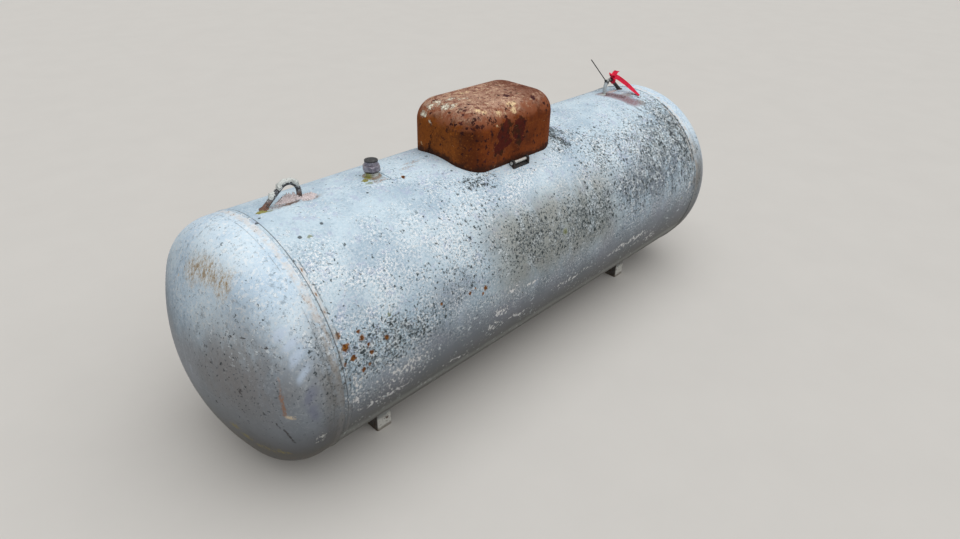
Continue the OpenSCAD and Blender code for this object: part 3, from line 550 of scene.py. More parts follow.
def head_paint(name, near):
    """The dished ends: the same old paint, browner and dirtier, with the near one's own stains, and painted
    shade on the side away from the light, on the underside and below the axis.
    """
    paint = Paint(name, roughness=0.6, gloss=0.35)
    x, y = paint.x, paint.y
    h = paint.z - AXIS_Z
    turn = abs(paint.maths("ARCTAN2", y * -1, h) * math.degrees(1))
    place = paint.place
    run = paint.stretched(place, 0.45)
    clouds = paint.noise(place, 5, 4, 0.6)
    wobble = paint.noise(run, 8, 5, 0.7, 3.1)
    fine = paint.noise(place, 78, 4, 0.8, 7.7)
    coarse = paint.noise(place, 46, 4, 0.8, 1.9)
    height = h + (wobble - 0.5) * 0.20
    coat = height.rise(0.24, 0.06)
    upper = paint.mix((200, 222, 240), (220, 238, 250), clouds.rise(0.36, 0.60))
    lower = paint.mix((150, 158, 166), (164, 171, 180), clouds.rise(0.40, 0.62))
    paint.colour = paint.mix(upper, lower, coat)
    # Painted shade: the side of the head turned away from the light is darkened, and has fewer pale grains.
    painted_shade_side = y.rise(-0.05, 0.40) * h.rise(0.36, 0.12)
    paint.lay((130, 140, 149), painted_shade_side * 0.85)
    grainy = (0.85 - coat * 0.6) * (1 - painted_shade_side * 0.8) * (1 - h.rise(0.04, -0.20) * 0.9)
    paint.lay((246, 250, 252), fine.rise(0.52, 0.60) * grainy * 0.8)
    paint.lay((136, 152, 164), coarse.rise(0.55, 0.63) * grainy * 0.7)
    paint.lay((120, 130, 136), fine.rise(0.40, 0.34) * grainy * 0.6)

    # A brown veil over the middle, in streaks that run down.
    veil = paint.noise(run, 11, 6, 0.75, 19.0)
    off_middle = paint.patch(paint.ragged(place, 6, 0.16, 3), (0, -0.23, AXIS_Z + 0.09), (9, 0.31, 0.30), 0.8)
    paint.lay((148, 145, 144), off_middle * veil.rise(0.24, 0.54) * 0.85)
    rim = abs(x).rise(SKIRT_X + 0.075, SKIRT_X - 0.01) * turn.rise(48, 78)
    paint.lay((130, 128, 124), rim * veil.rise(0.36, 0.60) * 0.8)
    density = abs(x).rise(SKIRT_X + 0.12, SEAM_X) * turn.rise(50, 62) * 0.75
    density = (density * (1 - turn.rise(92, 104) * 0.8) | off_middle * 0.22) + 0.03
    relief = crusts(paint, place, False, density, 0.75 - coat * 0.65)

    low = (h + (wobble - 0.5) * 0.10).rise(-0.16, -0.30)
    # Painted shade: the underside near the skirt and everything below the axis are darkened.
    painted_shade_underside = turn.rise(90, 112) * abs(x).rise(SKIRT_X + 0.12, SKIRT_X)
    paint.lay((104, 106, 112), painted_shade_underside * 0.6)
    paint.lay((84, 82, 78), h.rise(-0.02, -0.30) * 0.9)
    paint.lay((118, 110, 94), low * veil.rise(0.34, 0.60) * 0.45)
    chips = paint.noise(place, 84, 4, 0.65, 23.0)
    scraped = paint.patch(paint.ragged(place, 16, 0.05, 3), (-1.26, -0.442, AXIS_Z - 0.15), 0.05, 0.8)
    chipped = chips.rise(0.74 - scraped * 0.22, 0.77 - scraped * 0.22) * h.rise(0.05, -0.10)
    paint.lay((250, 250, 246), chipped * 0.9)
    if near:
        near_head_marks(paint, fine)
    seam_dirt(paint, run, turn)
    paint.bump(fine * 0.3 * (1 - coat) + relief + chipped * -0.6 + clouds * 0.4, 0.0016)
    return paint.finish(0.74 - coat * 0.26)


def near_head_marks(paint, fine):
    """Marks on the near head: tan lichen, a pale streak with a violet edge, an orange streak,
    flakes, small black marks and algae. Ovals are given in millimetres,
    as place across, height over the axis, and reach both ways."""
    across = paint.join(0.0, paint.y, paint.z - AXIS_Z)
    torn = paint.ragged(across, 24, 0.05, 5)
    streaky = paint.ragged(across, 60, 0.02, 3)

    def at(marks, soft=0.7, base=torn):
        return paint.patches(base, [((0, y, h), (1, wide, tall)) for y, h, wide, tall in metres(marks)], soft)

    tan = at(((-50, 375, 130, 60), (20, 350, 70, 60), (-150, 360, 50, 60)), 0.7)
    grit = paint.noise(paint.stretched(paint.place, 0.4), 76, 5, 0.8, 51.0)
    paint.lay((212, 202, 184), tan * grit.rise(0.44, 0.52) * 0.8)
    paint.lay((160, 138, 108), tan * grit.rise(0.53, 0.59) * 0.9)
    paint.lay((250, 248, 242), tan * grit.rise(0.46, 0.40) * 0.85)
    wavy = paint.ragged(across, 12, 0.03, 3)
    on_dish = abs(paint.x).rise(SKIRT_X + 0.02, SKIRT_X + 0.07)
    pale_streak = at(((-365, 258, 22, 30), (-392, 230, 18, 35), (-415, 190, 15, 45),
                (-437, 140, 10, 50)), 0.8, wavy)
    streaked = grit.rise(0.30, 0.50) * 0.5 + 0.35
    paint.lay((208, 224, 243), pale_streak * on_dish * streaked)
    violet = at(((-458, 60, 14, 60), (-464, -10, 12, 60)), 0.8, wavy)
    paint.lay((132, 136, 156), violet * on_dish * 0.7)
    orange = paint.stroke(streaky, (0, -0.388, 0.130), (0, -0.397, 0.060), 0.006) * 0.5
    orange = orange | paint.stroke(streaky, (0, -0.397, 0.060), (0, -0.402, -0.012), 0.009)
    paint.lay((172, 128, 100), orange * grit.rise(0.40, 0.54) * 0.85)
    flakes = at(((-416, -22, 18, 12), (107, 304, 6, 7)), 0.6, streaky)
    paint.lay((246, 226, 196), flakes * grit.rise(0.42, 0.50) * 0.9)
    black = at((
        (-218, 225, 10, 5),
        (-266, 233, 14, 4),
        (-345, 220, 8, 4),
        (-114, 150, 10, 10),
        (-135, 101, 6, 6),
        (-217, 76, 4, 5),
        (-258, 35, 10, 18),
    ), 0.5, streaky)
    for start, end, width in (
        ((0, -0.369, -0.060), (0, -0.376, -0.086), 0.004),
        ((0, -0.388, -0.087), (0, -0.395, -0.126), 0.007),
        ((0, -0.395, -0.126), (0, -0.397, -0.155), 0.005),
    ):
        black = black | paint.stroke(streaky, start, end, width)
    paint.lay((62, 60, 62), black * fine.rise(0.40, 0.50) * 0.9)
    algae = at(((-160, -175, 35, 22), (-200, -215, 40, 22), (-260, -250, 55, 20),
                (-330, -240, 40, 16)), 0.9)
    paint.lay((168, 152, 80), algae * grit.rise(0.42, 0.54) * 0.9)


# Marks on the hood are given in millimetres, at their places and with their reach along X, Y and Z.
HOOD_SCABS = (
    ((-130, -199, 1072), (44, 60, 56)),
    ((-155, -199, 1022), (36, 60, 40)),
    ((-105, -199, 1030), (30, 60, 24)),
    ((-36, -199, 1078), (48, 60, 54)),
    ((-30, -199, 1020), (24, 60, 28)),
    ((-105, -190, 1115), (30, 40, 14)),
)
HOOD_CREAM = (
    ((-321, 72, 1135), (24, 34, 26)),
    ((-298, 60, 1164), (30, 34, 26)),
    ((-271, 35, 1180), (34, 30, 26)),
    ((-220, 18, 1186), (56, 20, 26)),
    ((-175, -7, 1186), (36, 20, 26)),
    ((-282, -12, 1175), (32, 30, 26)),
    ((-255, -40, 1183), (34, 14, 26)),
    ((-331, 21, 1106), (14, 20, 18)),
)
HOOD_FLAKES = (
    ((-231, -139, 1179), (26, 20, 20)),
    ((-211, -160, 1168), (28, 18, 18)),
    ((-137, -174, 1156), (28, 18, 18)),
    ((-48, -177, 1153), (24, 16, 16)),
    ((-40, -155, 1170), (38, 24, 18)),
    ((-176, -196, 1117), (9, 10, 8)),
    ((-330, 84, 1012), (8, 6, 14)),
    ((-328, -114, 1049), (6, 6, 6)),
    ((125, -199, 1069), (5, 8, 5)),
    ((-110, 50, 1186), (40, 12, 10)),
    ((200, 44, 1170), (16, 12, 14)),
)
HOOD_DOTS = (
    ((-307, -132, 1140), 8.5),
    ((-284, -145, 1156), 7),
    ((-286, -118, 1168), 7),
    ((-249, -165, 1159), 9),
    ((-249, -186, 1131), 6),
    ((-205, -198, 1103), 7),
    ((-286, -169, 1123), 7),
    ((-294, -170, 1042), 8.5),
    ((-219, -199, 1018), 8.5),
    ((-234, -198, 983), 8),
    ((-125, -199, 968), 8),
    ((-185, -199, 964), 7),
    ((-256, -62, 1184), 8),
    ((-268, -108, 1179), 9.5),
    ((-8, -96, 1186), 20),
    ((54, -33, 1186), 10),
    ((95, -155, 1172), 16),
)
HOOD_SCRATCHES = (
    ((-331, -11, 1102), (-332, 16, 1064), 3.5),
    ((-332, 16, 1064), (-332, 38, 985), 5),
    ((-332, -51, 1078), (-332, -38, 1046), 2),
    ((68, -199, 1029), (64, -199, 999), 5),
    ((-70, -199, 983), (-31, -199, 983), 3),
)


def hood_rust():
    """Rusted sheet: orange at the near end, dark at its foot, dusty on top, with scabs, lichen and dots."""
    paint = Paint("hood_rust", roughness=0.85, gloss=0.2)
    place = paint.place
    toward_x, toward_y, toward_z = paint.split(paint.facing)
    torn = paint.ragged(place, 38, 0.075, 5)
    nibbled = paint.ragged(place, 90, 0.035, 4)
    clouds = paint.noise(place, 8, 5, 0.65)
    blots = paint.noise(place, 24, 5, 0.7, 6.0)
    grit = paint.noise(place, 100, 4, 0.75, 3.0)
    run = paint.noise(paint.stretched(place, 0.22), 42, 4, 0.65, 12.0)
    near_end = (toward_x * -1).rise(0.35, 0.85)
    up = (toward_z + (blots - 0.5) * 0.7).rise(0.30, 0.80)

    front = paint.mix((98, 42, 14), (138, 68, 26), clouds.rise(0.36, 0.62))
    end = paint.mix((96, 50, 16), (146, 78, 24), clouds.rise(0.36, 0.62))
    paint.colour = paint.mix(front, end, near_end)
    corner = (toward_x * -1).rise(0.25, 0.6) * (toward_y * -1).rise(0.25, 0.6)
    paint.lay((78, 30, 8), corner * 0.6)
    paint.lay((92, 48, 26), run.rise(0.52, 0.66) * 0.6)
    paint.lay((188, 116, 50), grit.rise(0.44, 0.34) * (near_end * 0.3 + 0.25))
    paint.lay((70, 34, 20), grit.rise(0.56, 0.66) * 0.7)
    over_shell = paint.vector("LENGTH", paint.join(0.0, paint.y, paint.z - AXIS_Z)) - SHELL_RADIUS
    foot = (over_shell + (blots - 0.5) * 0.08).rise(0.032, 0.010)
    paint.lay((44, 24, 16), foot * 0.85)

    dust = paint.mix((158, 118, 98), (190, 152, 130), clouds.rise(0.36, 0.60))
    dust = paint.mix(dust, (118, 72, 56), blots.rise(0.50, 0.62) * 0.75)
    sand = paint.noise(place, 66, 4, 0.8, 40.0)
    dust = paint.mix(dust, (84, 34, 28), sand.rise(0.56, 0.60) * 0.9)
    dust = paint.mix(dust, (238, 212, 176), sand.rise(0.42, 0.38) * 0.85)
    dust = paint.mix(dust, (140, 74, 44), grit.rise(0.56, 0.62) * 0.7)
    far_top = paint.x.rise(-0.02, 0.16)
    dust = paint.mix(dust, (104, 56, 38), far_top * blots.rise(0.30, 0.52) * 0.9)
    paint.lay(dust, up)
    rim = toward_z.band(0.25, 0.85, 0.12)
    paint.lay((150, 88, 58), rim * blots.rise(0.42, 0.56) * 0.7)

    scabs = paint.patches(torn, metres(HOOD_SCABS), 0.25)
    scab_tone = paint.mix((82, 22, 14), (60, 30, 10), blots.rise(0.44, 0.56))
    scab_tone = paint.mix(scab_tone, (112, 56, 26), grit.rise(0.56, 0.62) * 0.7)
    paint.lay(scab_tone, scabs * 0.95)
    scab_edge = scabs.band(0.10, 0.50, 0.1) * grit.rise(0.44, 0.52)
    paint.lay((168, 100, 60), scab_edge * 0.6)
    peppered = paint.patch(place, (-0.24, -0.20, 1.11), (0.20, 0.16, 0.12), 0.9)
    small = paint.dots(nibbled, 56, peppered * 0.8 + 0.18, 0.56)
    paint.lay((50, 16, 14), small * 0.95)
    bright = paint.dots(nibbled, 64, up * 0.16 + 0.03, 0.30, shift=4.4)
    paint.lay((214, 190, 150), bright * 0.7)

    marks = [(centre, (wide * 1.35, deep * 1.35, tall)) for centre, (wide, deep, tall) in metres(HOOD_CREAM)]
    cream = paint.patches(paint.ragged(place, 34, 0.060, 5), marks, 0.9)
    cream = paint.noise(nibbled, 96, 5, 0.85, 21.0).rise(0.70 - cream * 0.26, 0.72 - cream * 0.26)
    paint.lay((255, 248, 226), cream * toward_z.rise(0.05, 0.35))
    flakes = paint.patches(torn, metres(HOOD_FLAKES), 0.5)
    flecks = paint.noise(nibbled, 70, 4, 0.75, 31.0)
    paint.lay((244, 214, 168), flakes * flecks.rise(0.46, 0.50) * 0.95)
    dots = paint.patches(nibbled, metres(HOOD_DOTS), 0.4)
    paint.lay((62, 24, 28), dots * 0.9)
    for start, end, width in metres(HOOD_SCRATCHES):
        paint.lay((40, 16, 10), paint.stroke(nibbled, start, end, width) * 0.9)
    inside = toward_z.rise(-0.4, -0.8)
    paint.lay((104, 66, 46), inside * 0.8)
    paint.bump(grit * 0.5 + cream * 0.6 + scabs * -0.4 + small * 0.4 + blots * 0.4, 0.0022)
    return paint.finish()


def worn(name, base, patch, roughness=0.5, metallic=0.3, per_metre=90, share=0.5, depth=0.0005):
    """A plain finish with patches of another tone, such as rust, dirt or bright worn metal."""
    paint = Paint(name, roughness=roughness, metallic=metallic)
    broad = paint.noise(paint.place, per_metre * 0.3, 5)
    grit = paint.noise(paint.place, per_metre * 2, 4, 0.7, 4.0)
    edge = 0.70 - share * 0.24
    paint.colour = paint.mix(base, tuple(part * 0.7 for part in base), grit.rise(0.46, 0.66) * 0.8)
    stained = (broad + (grit - 0.5) * 0.25).rise(edge, edge + 0.07)
    paint.lay(patch, stained * 0.85)
    paint.bump(grit * 0.5 + stained * 0.4, depth)
    return paint.finish(stained * (0.85 - roughness) + roughness, (1 - stained) * metallic)


def lug_paint(name, far):
    """Old paint and rust on a lug: speckled grey, brown at the feet, bare at the far one's upright leg."""
    paint = Paint(name, roughness=0.7, metallic=0.1, gloss=0.3)
    place = paint.place
    grit = paint.noise(place, 190, 4)
    blots = paint.noise(place, 55, 5, 0.7, 3.0)
    side = abs(paint.x) - LUG_X
    high = paint.z.rise(TOP_Z + 0.010, TOP_Z + 0.035)
    paint.colour = paint.mix((62, 62, 64), (128, 134, 140), blots.rise(0.44, 0.58))
    paint.lay((206, 214, 218), grit.rise(0.55, 0.64) * 0.8)
    paint.lay((122, 84, 66), (1 - high) * blots.rise(0.40, 0.52) * 0.9)
    if far:
        upright = side.rise(0.020, 0.008)
        paint.lay((186, 194, 198), upright * blots.rise(0.66, 0.56))
        slope = side.rise(0.070, 0.090)
        paint.lay((58, 50, 48), slope * blots.rise(0.30, 0.44) * 0.9)
    paint.lay((34, 32, 32), paint.dots(place, 130, 0.30, 0.32) * 0.9)
    paint.bump(grit * 0.5 + blots * 0.5, 0.0012)
    return paint.finish()


def crust_paint(name, light, dark, spots=0.3):
    """Lichen or moss in a thick crust, lumpy and specked with dark fruit bodies."""
    paint = Paint(name, roughness=0.9, gloss=0.1)
    lumps = paint.noise(paint.place, 240, 4)
    broad = paint.noise(paint.place, 70, 4, 0.7, 3.0)
    paint.colour = paint.mix(light, dark, lumps.rise(0.52, 0.66) * 0.75)
    paint.lay(tuple(part * 0.8 for part in light), broad.rise(0.50, 0.62) * 0.7)
    paint.lay((30, 30, 30), paint.dots(paint.place, 120, spots, 0.34) * 0.9)
    paint.bump(lumps, 0.002)
    return paint.finish()


def relief_paint():
    """The relief valve's body: grey with a violet cast, dark at its neck, dusted white on its upper edges."""
    paint = Paint("relief_metal", roughness=0.5, metallic=0.35)
    grit = paint.noise(paint.place, 210, 4)
    blots = paint.noise(paint.place, 60, 4, 0.7, 5.0)
    paint.colour = paint.mix((118, 112, 124), (154, 150, 160), blots.rise(0.40, 0.60))
    paint.lay((214, 214, 216), grit.rise(0.58, 0.66) * 0.8)
    low = (paint.z + (blots - 0.5) * 0.006).rise(TOP_Z + 0.030, TOP_Z + 0.026)
    paint.lay((58, 52, 50), low * 0.8)
    paint.bump(grit, 0.0006)
    return paint.finish()


def collar_paint():
    """The relief valve's coupling and pad: pale old paint with moss at its near side and rust at its foot."""
    paint = Paint("collar_paint", roughness=0.7, gloss=0.3)
    grit = paint.noise(paint.place, 190, 4)
    blots = paint.noise(paint.place, 55, 5, 0.7, 5.0)
    paint.colour = paint.mix((186, 190, 186), (214, 218, 214), blots.rise(0.40, 0.60))
    paint.lay((120, 108, 90), grit.rise(0.54, 0.64) * 0.7)
    foot = (paint.z + (blots - 0.5) * 0.01).rise(TOP_Z + 0.010, TOP_Z + 0.002)
    paint.lay((130, 88, 56), foot * 0.7)
    mossy = paint.patch(paint.ragged(paint.place, 90, 0.01), (-0.690, -0.012, TOP_Z + 0.010), 0.028, 0.6)
    paint.lay((148, 146, 62), mossy * 0.85)
    paint.bump(grit * 0.6 + blots * 0.4, 0.001)
    return paint.finish()


def leg_paint():
    """The legs: grey above, old white paint flaking below, soil at the foot plates, and painted shade on the
    flanges that face along the tank.
    """
    paint = Paint("leg_paint", roughness=0.75, gloss=0.3)
    place = paint.place
    grit = paint.noise(place, 120, 4)
    blots = paint.noise(place, 26, 5, 0.7, 3.0)
    paint.colour = paint.mix((150, 152, 150), (176, 178, 174), blots.rise(0.40, 0.60))
    white = (paint.z + (blots - 0.5) * 0.08).rise(0.075, 0.055)
    paint.lay((238, 236, 228), white * 0.9)
    paint.lay((116, 98, 80), grit.rise(0.56, 0.66) * 0.7)
    rust = blots.rise(0.56, 0.59)
    paint.lay((84, 62, 46), rust * 0.9)
    # Painted shade: the flanges that face along the tank are darkened in patches, as if in shadow.
    toward_x, _, _ = paint.split(paint.facing)
    inner = abs(toward_x).rise(0.5, 0.8) * blots.rise(0.62, 0.54)
    paint.lay((62, 54, 48), inner * 0.85)
    soil = (paint.z + (blots - 0.5) * 0.03).rise(0.022, 0.006)
    paint.lay((112, 100, 84), soil * 0.7)
    paint.bump(grit * 0.5 + rust * 0.5, 0.001)
    return paint.finish()


def dial_face():
    """A white dial with plain ticks round three quarters of it and a red stretch at its end."""
    paint = Paint("dial_face", roughness=0.35)
    across = paint.x - (GAUGE_LOW.x + GAUGE_HIGH.x) / 2
    away = paint.vector("LENGTH", paint.join(across, paint.y, 0.0))
    turn = paint.maths("ARCTAN2", across, paint.y) * math.degrees(1)
    share = paint.maths("PINGPONG", turn, 7.5)
    ticks = share.rise(1.6, 0.8) * away.band(0.0135, 0.0185, 0.0004)
    long_share = paint.maths("PINGPONG", turn, 22.5)
    long_ticks = long_share.rise(2.4, 1.4) * away.band(0.0110, 0.0185, 0.0004)
    scale = abs(turn).rise(136, 134)
    ring = away.band(0.0185, 0.0192, 0.0003)
    paint.colour = paint.mix((226, 224, 212), (30, 30, 32), (ticks | long_ticks | ring) * scale)
    red = away.band(0.0196, 0.0212, 0.0003) * turn.band(90, 135, 1)
    paint.lay((170, 40, 32), red)
    aged = paint.noise(paint.place, 140, 4)
    paint.lay((150, 138, 110), aged.rise(0.50, 0.72) * 0.5)
    return paint.finish()


def clear_plastic():
    """The gauge's cover, a little hazy with age."""
    paint = Paint("clear_plastic", roughness=0.12)
    paint.shader.inputs["Transmission Weight"].default_value = 1.0
    paint.shader.inputs["IOR"].default_value = 1.25
    haze = paint.noise(paint.place, 160, 3, 0.6)
    paint.colour = tone(244, 244, 240)
    return paint.finish(haze.rise(0.35, 0.75) * 0.35 + 0.08)


def ribbon_cloth():
    """Faded crimson cloth tape with fine ribs across it."""
    paint = Paint("ribbon_cloth", roughness=0.7, gloss=0.3)
    faded = paint.noise(paint.place, 60, 4, 0.6)
    weave = paint.noise(paint.place, 900, 1, 0.5, 2.0)
    paint.colour = paint.mix((232, 16, 62), (196, 10, 46), faded.rise(0.42, 0.62))
    paint.lay((240, 60, 100), weave.rise(0.55, 0.70) * 0.4)
    paint.bump(weave, 0.0003)
    return paint.finish()


def gloss_paint(name, fresh, roughness=0.4):
    """A plain paint or plastic, greyed in patches."""
    paint = Paint(name, roughness=roughness)
    dust = paint.noise(paint.place, 110, 4)
    faded = tuple(part + (170 - part) * 0.35 for part in fresh)
    paint.colour = paint.mix(fresh, faded, dust.rise(0.48, 0.68))
    paint.bump(dust, 0.0003)
    return paint.finish()


def on_shell(x, y, lift=0.0):
    """A place on the upper half of the shell, lifted off it by a distance."""
    up = math.sqrt(SHELL_RADIUS ** 2 - y ** 2)
    out = Vector((0, y, up)) / SHELL_RADIUS
    return Vector((x, 0, AXIS_Z)) + out * (SHELL_RADIUS + lift)


def lump(place, per_metre, seed):
    """Smooth lumps from about -0.5 to 0.5, the same at every run."""
    return noise.noise(place * per_metre + Vector((seed, seed * 1.7, seed * 0.3))) * 0.7


def skin(name, rings, material, closed=True, looped=False):
    """A piece with faces over a row of rings, each ring with as many points. It rides on the root body."""
    count = len(rings[0])
    points = [point for ring in rings for point in ring]
    faces = []
    for step in range(len(rings) if looped else len(rings) - 1):
        here = step * count
        after = (step + 1) % len(rings) * count
        for k in range(count if closed else count - 1):
            beside = (k + 1) % count
            faces.append((here + k, here + beside, after + beside, after + k))
    if closed and not looped:
        faces.append(tuple(reversed(range(count))))
        faces.append(tuple(range(len(points) - count, len(points))))
    mesh = bpy.data.meshes.new(name)
    mesh.from_pydata(points, [], faces)
    mesh.polygons.foreach_set("use_smooth", [True] * len(faces))
    mesh.materials.append(material)
    piece = bpy.data.objects.new(name, mesh)
    bpy.context.scene.collection.objects.link(piece)
    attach(piece, "root")
    return piece


def smooth_line(points, steps):
    """A smooth line through the points, with so many steps between each two."""
    line = []
    ends = [points[0] * 2 - points[1], *points, points[-1] * 2 - points[-2]]
    for before, start, end, after in zip(ends, ends[1:], ends[2:], ends[3:]):
        for step in range(steps):
            t = step / steps
            line.append((start * 2 + (end - before) * t + (before * 2 - start * 5 + end * 4 - after) * t * t
                         + (start * 3 - before - end * 3 + after) * t ** 3) / 2)
    return [*line, points[-1]]


def turns_round(count):
    """Even turns round a circle, in radians."""
    return [2 * math.pi * k / count for k in range(count)]


def weld(name, x, y, radius, size, material):
    """A fillet weld round something that stands on the shell, with the ripples of its passes."""
    rings = []
    for turn in turns_round(WELD_STEPS):
        out = Vector((math.cos(turn), math.sin(turn), 0))
        middle = on_shell(x + radius * out.x, y + radius * out.y)
        up = Vector((0, middle.y, middle.z - AXIS_Z)).normalized()
        girth = size * (1 + 0.16 * math.sin(turn * WELD_RIPPLES) + lump(middle, 90, 3.0) * 0.5)
        rings.append([middle + (out * math.cos(a) + up * math.sin(a)) * girth for a in turns_round(WELD_SIDES)])
    return skin(name, rings, material, looped=True)


def lug_frame(side, turn):
    """The ways up, back and along a lug that leans behind the top line, and its upright foot's place."""
    lean = math.radians(turn)
    up = Vector((0, math.sin(lean), math.cos(lean)))
    back = Vector((0, math.cos(lean), -math.sin(lean)))
    along = Vector((side, 0, 0))
    return up, back, along, Vector((side * LUG_X, 0, AXIS_Z)) + up * SHELL_RADIUS


def lug_line(side, turn):
    """Places along the middle of a lug's bar from its upright foot on, each with the way out of its bend."""
    up, _, along, foot = lug_frame(side, turn)
    line = []
    for step in range(FOOT_STEPS):
        line.append((foot + up * LUG_BEND_Z * step / FOOT_STEPS, -along))
    for step in range(BEND_STEPS):
        angle = math.radians(180 - (180 - LUG_SLOPE_TURN) * step / BEND_STEPS)
        out = along * math.cos(angle) + up * math.sin(angle)
        line.append((foot + along * LUG_BEND + up * LUG_BEND_Z + out * LUG_BEND, out))
    start = foot + along * LUG_SLOPE[0] + up * LUG_SLOPE[1]
    end = foot + along * LUG_FOOT_GAP
    out = (along * LUG_SLOPE[1] + up * (LUG_FOOT_GAP - LUG_SLOPE[0])).normalized()
    for step in range(SLOPE_STEPS + 1):
        line.append((start.lerp(end, step / SLOPE_STEPS), out))
    return line


def lug_crust(name, side, turn, first, last, thick, seed, material):
    """Lichen in a lumpy crust on the outer side of a lug's bar, from one step of its line to another."""
    _, aside, _, _ = lug_frame(side, turn)
    rings = []
    line = lug_line(side, turn)[first:last]
    for step, (place, out) in enumerate(line):
        end_share = min(1, step / 4, (len(line) - 1 - step) / 4)
        ring = []
        for share in (k / 8 for k in range(-8, 9)):
            angle = math.radians(CRUST_SPREAD * share)
            way = out * math.cos(angle) + aside * math.sin(angle)
            surface = place + way * BAR_RADIUS
            cover = min(1, (1 - abs(share)) * 2) * end_share
            grown = thick * (0.30 + lump(surface, 55, seed) * 2.6 + lump(surface, 190, seed) * 0.9)
            ring.append(surface + way * (max(grown, -0.0006) * cover - 0.0008 * (1 - cover)))
        rings.append(ring)
    return skin(name, rings, material, closed=False)


def shell_crust(name, x, y, wide, deep, height, seed, material):
    """A low lumpy bed of lichen or moss on the shell, thinning out at an uneven edge."""
    rings = []
    for step in range(CRUST_RINGS):
        reach = 1 - step / (CRUST_RINGS - 0.5)
        ring = []
        for turn in turns_round(CRUST_STEPS):
            edge = 1 + noise.noise(Vector((math.cos(turn) * 1.7, math.sin(turn) * 1.7, seed))) * 0.5
            spot_x = x + wide * reach * edge * math.cos(turn)
            spot_y = y + deep * reach * edge * math.sin(turn)
            flat = on_shell(spot_x, spot_y)
            grown = 0.45 + lump(flat, 80, seed) * 1.2 + lump(flat, 200, seed) * 0.9
            lift = height * (1 - reach ** 2) * grown + 0.0006 - 0.002 * reach ** 3
            ring.append(on_shell(spot_x, spot_y, lift))
        rings.append(ring)
    return skin(name, rings, material)


def add_crusts():
    """The thick growth on and round both lifting lugs and at the relief valve's foot."""
    white = crust_paint("white_lichen", (224, 228, 224), (150, 150, 142), 0.34)
    brown = crust_paint("pink_crust", (226, 214, 214), (130, 110, 106), 0.40)
    moss = crust_paint("yellow_moss", (156, 152, 92), (100, 98, 60), 0.14)
    grey = crust_paint("grey_crust", (190, 194, 190), (110, 108, 102), 0.34)
    lug_crust("near_lug_lichen", -1, NEAR_LUG_TURN, 12, 58, 0.0052, 4.0, white)
    lug_crust("far_lug_lichen", 1, FAR_LUG_TURN, 16, 30, 0.0018, 9.0, grey)
    near_y = on_lug_y(NEAR_LUG_TURN)
    far_y = on_lug_y(FAR_LUG_TURN)
    shell_crust("near_lug_crust", -0.998, near_y + 0.004, 0.062, 0.020, 0.026, 1.3, brown)
    shell_crust("near_lug_moss", -1.112, near_y - 0.014, 0.026, 0.012, 0.005, 2.2, moss)
    shell_crust("near_lug_foot_crust", -0.934, near_y - 0.016, 0.040, 0.030, 0.014, 5.1, brown)
    shell_crust("far_lug_crust", 1.030, far_y, 0.050, 0.020, 0.004, 7.7, brown)
    shell_crust("far_lug_foot_crust", 0.940, far_y, 0.026, 0.018, 0.005, 8.4, grey)
    shell_crust("relief_moss", -0.700, -0.016, 0.016, 0.014, 0.005, 6.6, moss)


def on_lug_y(turn):
    """How far behind the top line a lug's feet stand."""
    return SHELL_RADIUS * math.sin(math.radians(turn))


def add_welds(iron, pale):
    """The fillet welds at the lugs' feet and round what is welded into the shell's top."""
    for name, side, turn in (("near", -1, NEAR_LUG_TURN), ("far", 1, FAR_LUG_TURN)):
        y = on_lug_y(turn)
        weld(name + "_lug_upright_weld", side * LUG_X, y, BAR_RADIUS + 0.001, 0.0035, iron)
        weld(name + "_lug_slope_weld", side * (LUG_X + LUG_FOOT_GAP), y, BAR_RADIUS + 0.004, 0.0035, iron)
    for name in ("service_coupling", "gauge_coupling", "fill_coupling", "vapour_coupling", "level_vent"):
        low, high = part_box(name)
        weld(name + "_weld", (low.x + high.x) / 2, 0.0, (high.x - low.x) / 2 + 0.001, 0.0035, pale)
    low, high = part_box("relief_coupling")
    weld("relief_pad_weld", (low.x + high.x) / 2, 0.0, (high.x - low.x) / 2, 0.0030, pale)


def add_gauge(face, glass, ring):
    """The gauge's dial with its needle, its clear cover and the ring that holds it."""
    middle = Vector(((GAUGE_LOW.x + GAUGE_HIGH.x) / 2, (GAUGE_LOW.y + GAUGE_HIGH.y) / 2, GAUGE_HIGH.z))

    def circle(radius, height):
        turns = turns_round(DIAL_STEPS)
        return [middle + Vector((radius * math.cos(a), radius * math.sin(a), height)) for a in turns]

    skin("gauge_dial", [circle(DIAL_RADIUS, 0.0), circle(DIAL_RADIUS, 0.0008), circle(0.0005, 0.0008)], face)
    rim = [circle(0.0230 + 0.0018 * math.cos(a), 0.0022 * math.sin(a) + 0.0005) for a in turns_round(12)]
    skin("gauge_ring", rim, ring, looped=True)
    rises = [math.radians(9 * k) for k in range(10)]
    dome = [circle(DIAL_RADIUS * math.cos(a), 0.0014 + 0.0045 * math.sin(a)) for a in rises]
    skin("gauge_cover", dome, glass)
    lean = math.radians(NEEDLE_TURN)
    tip = Vector((math.sin(lean), math.cos(lean), 0)) * NEEDLE_LENGTH
    side = Vector((math.cos(lean), -math.sin(lean), 0))
    corners = ((1, 0.0010), (1, 0.0016), (-1, 0.0016), (-1, 0.0010))
    needle = []
    for share, width in ((-0.3, 0.0014), (0.0, 0.0018), (0.5, 0.0012), (1.0, 0.0003)):
        spot = middle + tip * share
        needle.append([spot + side * width * hand + Vector((0, 0, height)) for hand, height in corners])
    skin("gauge_needle", needle, gloss_paint("needle_black", (26, 26, 28)))


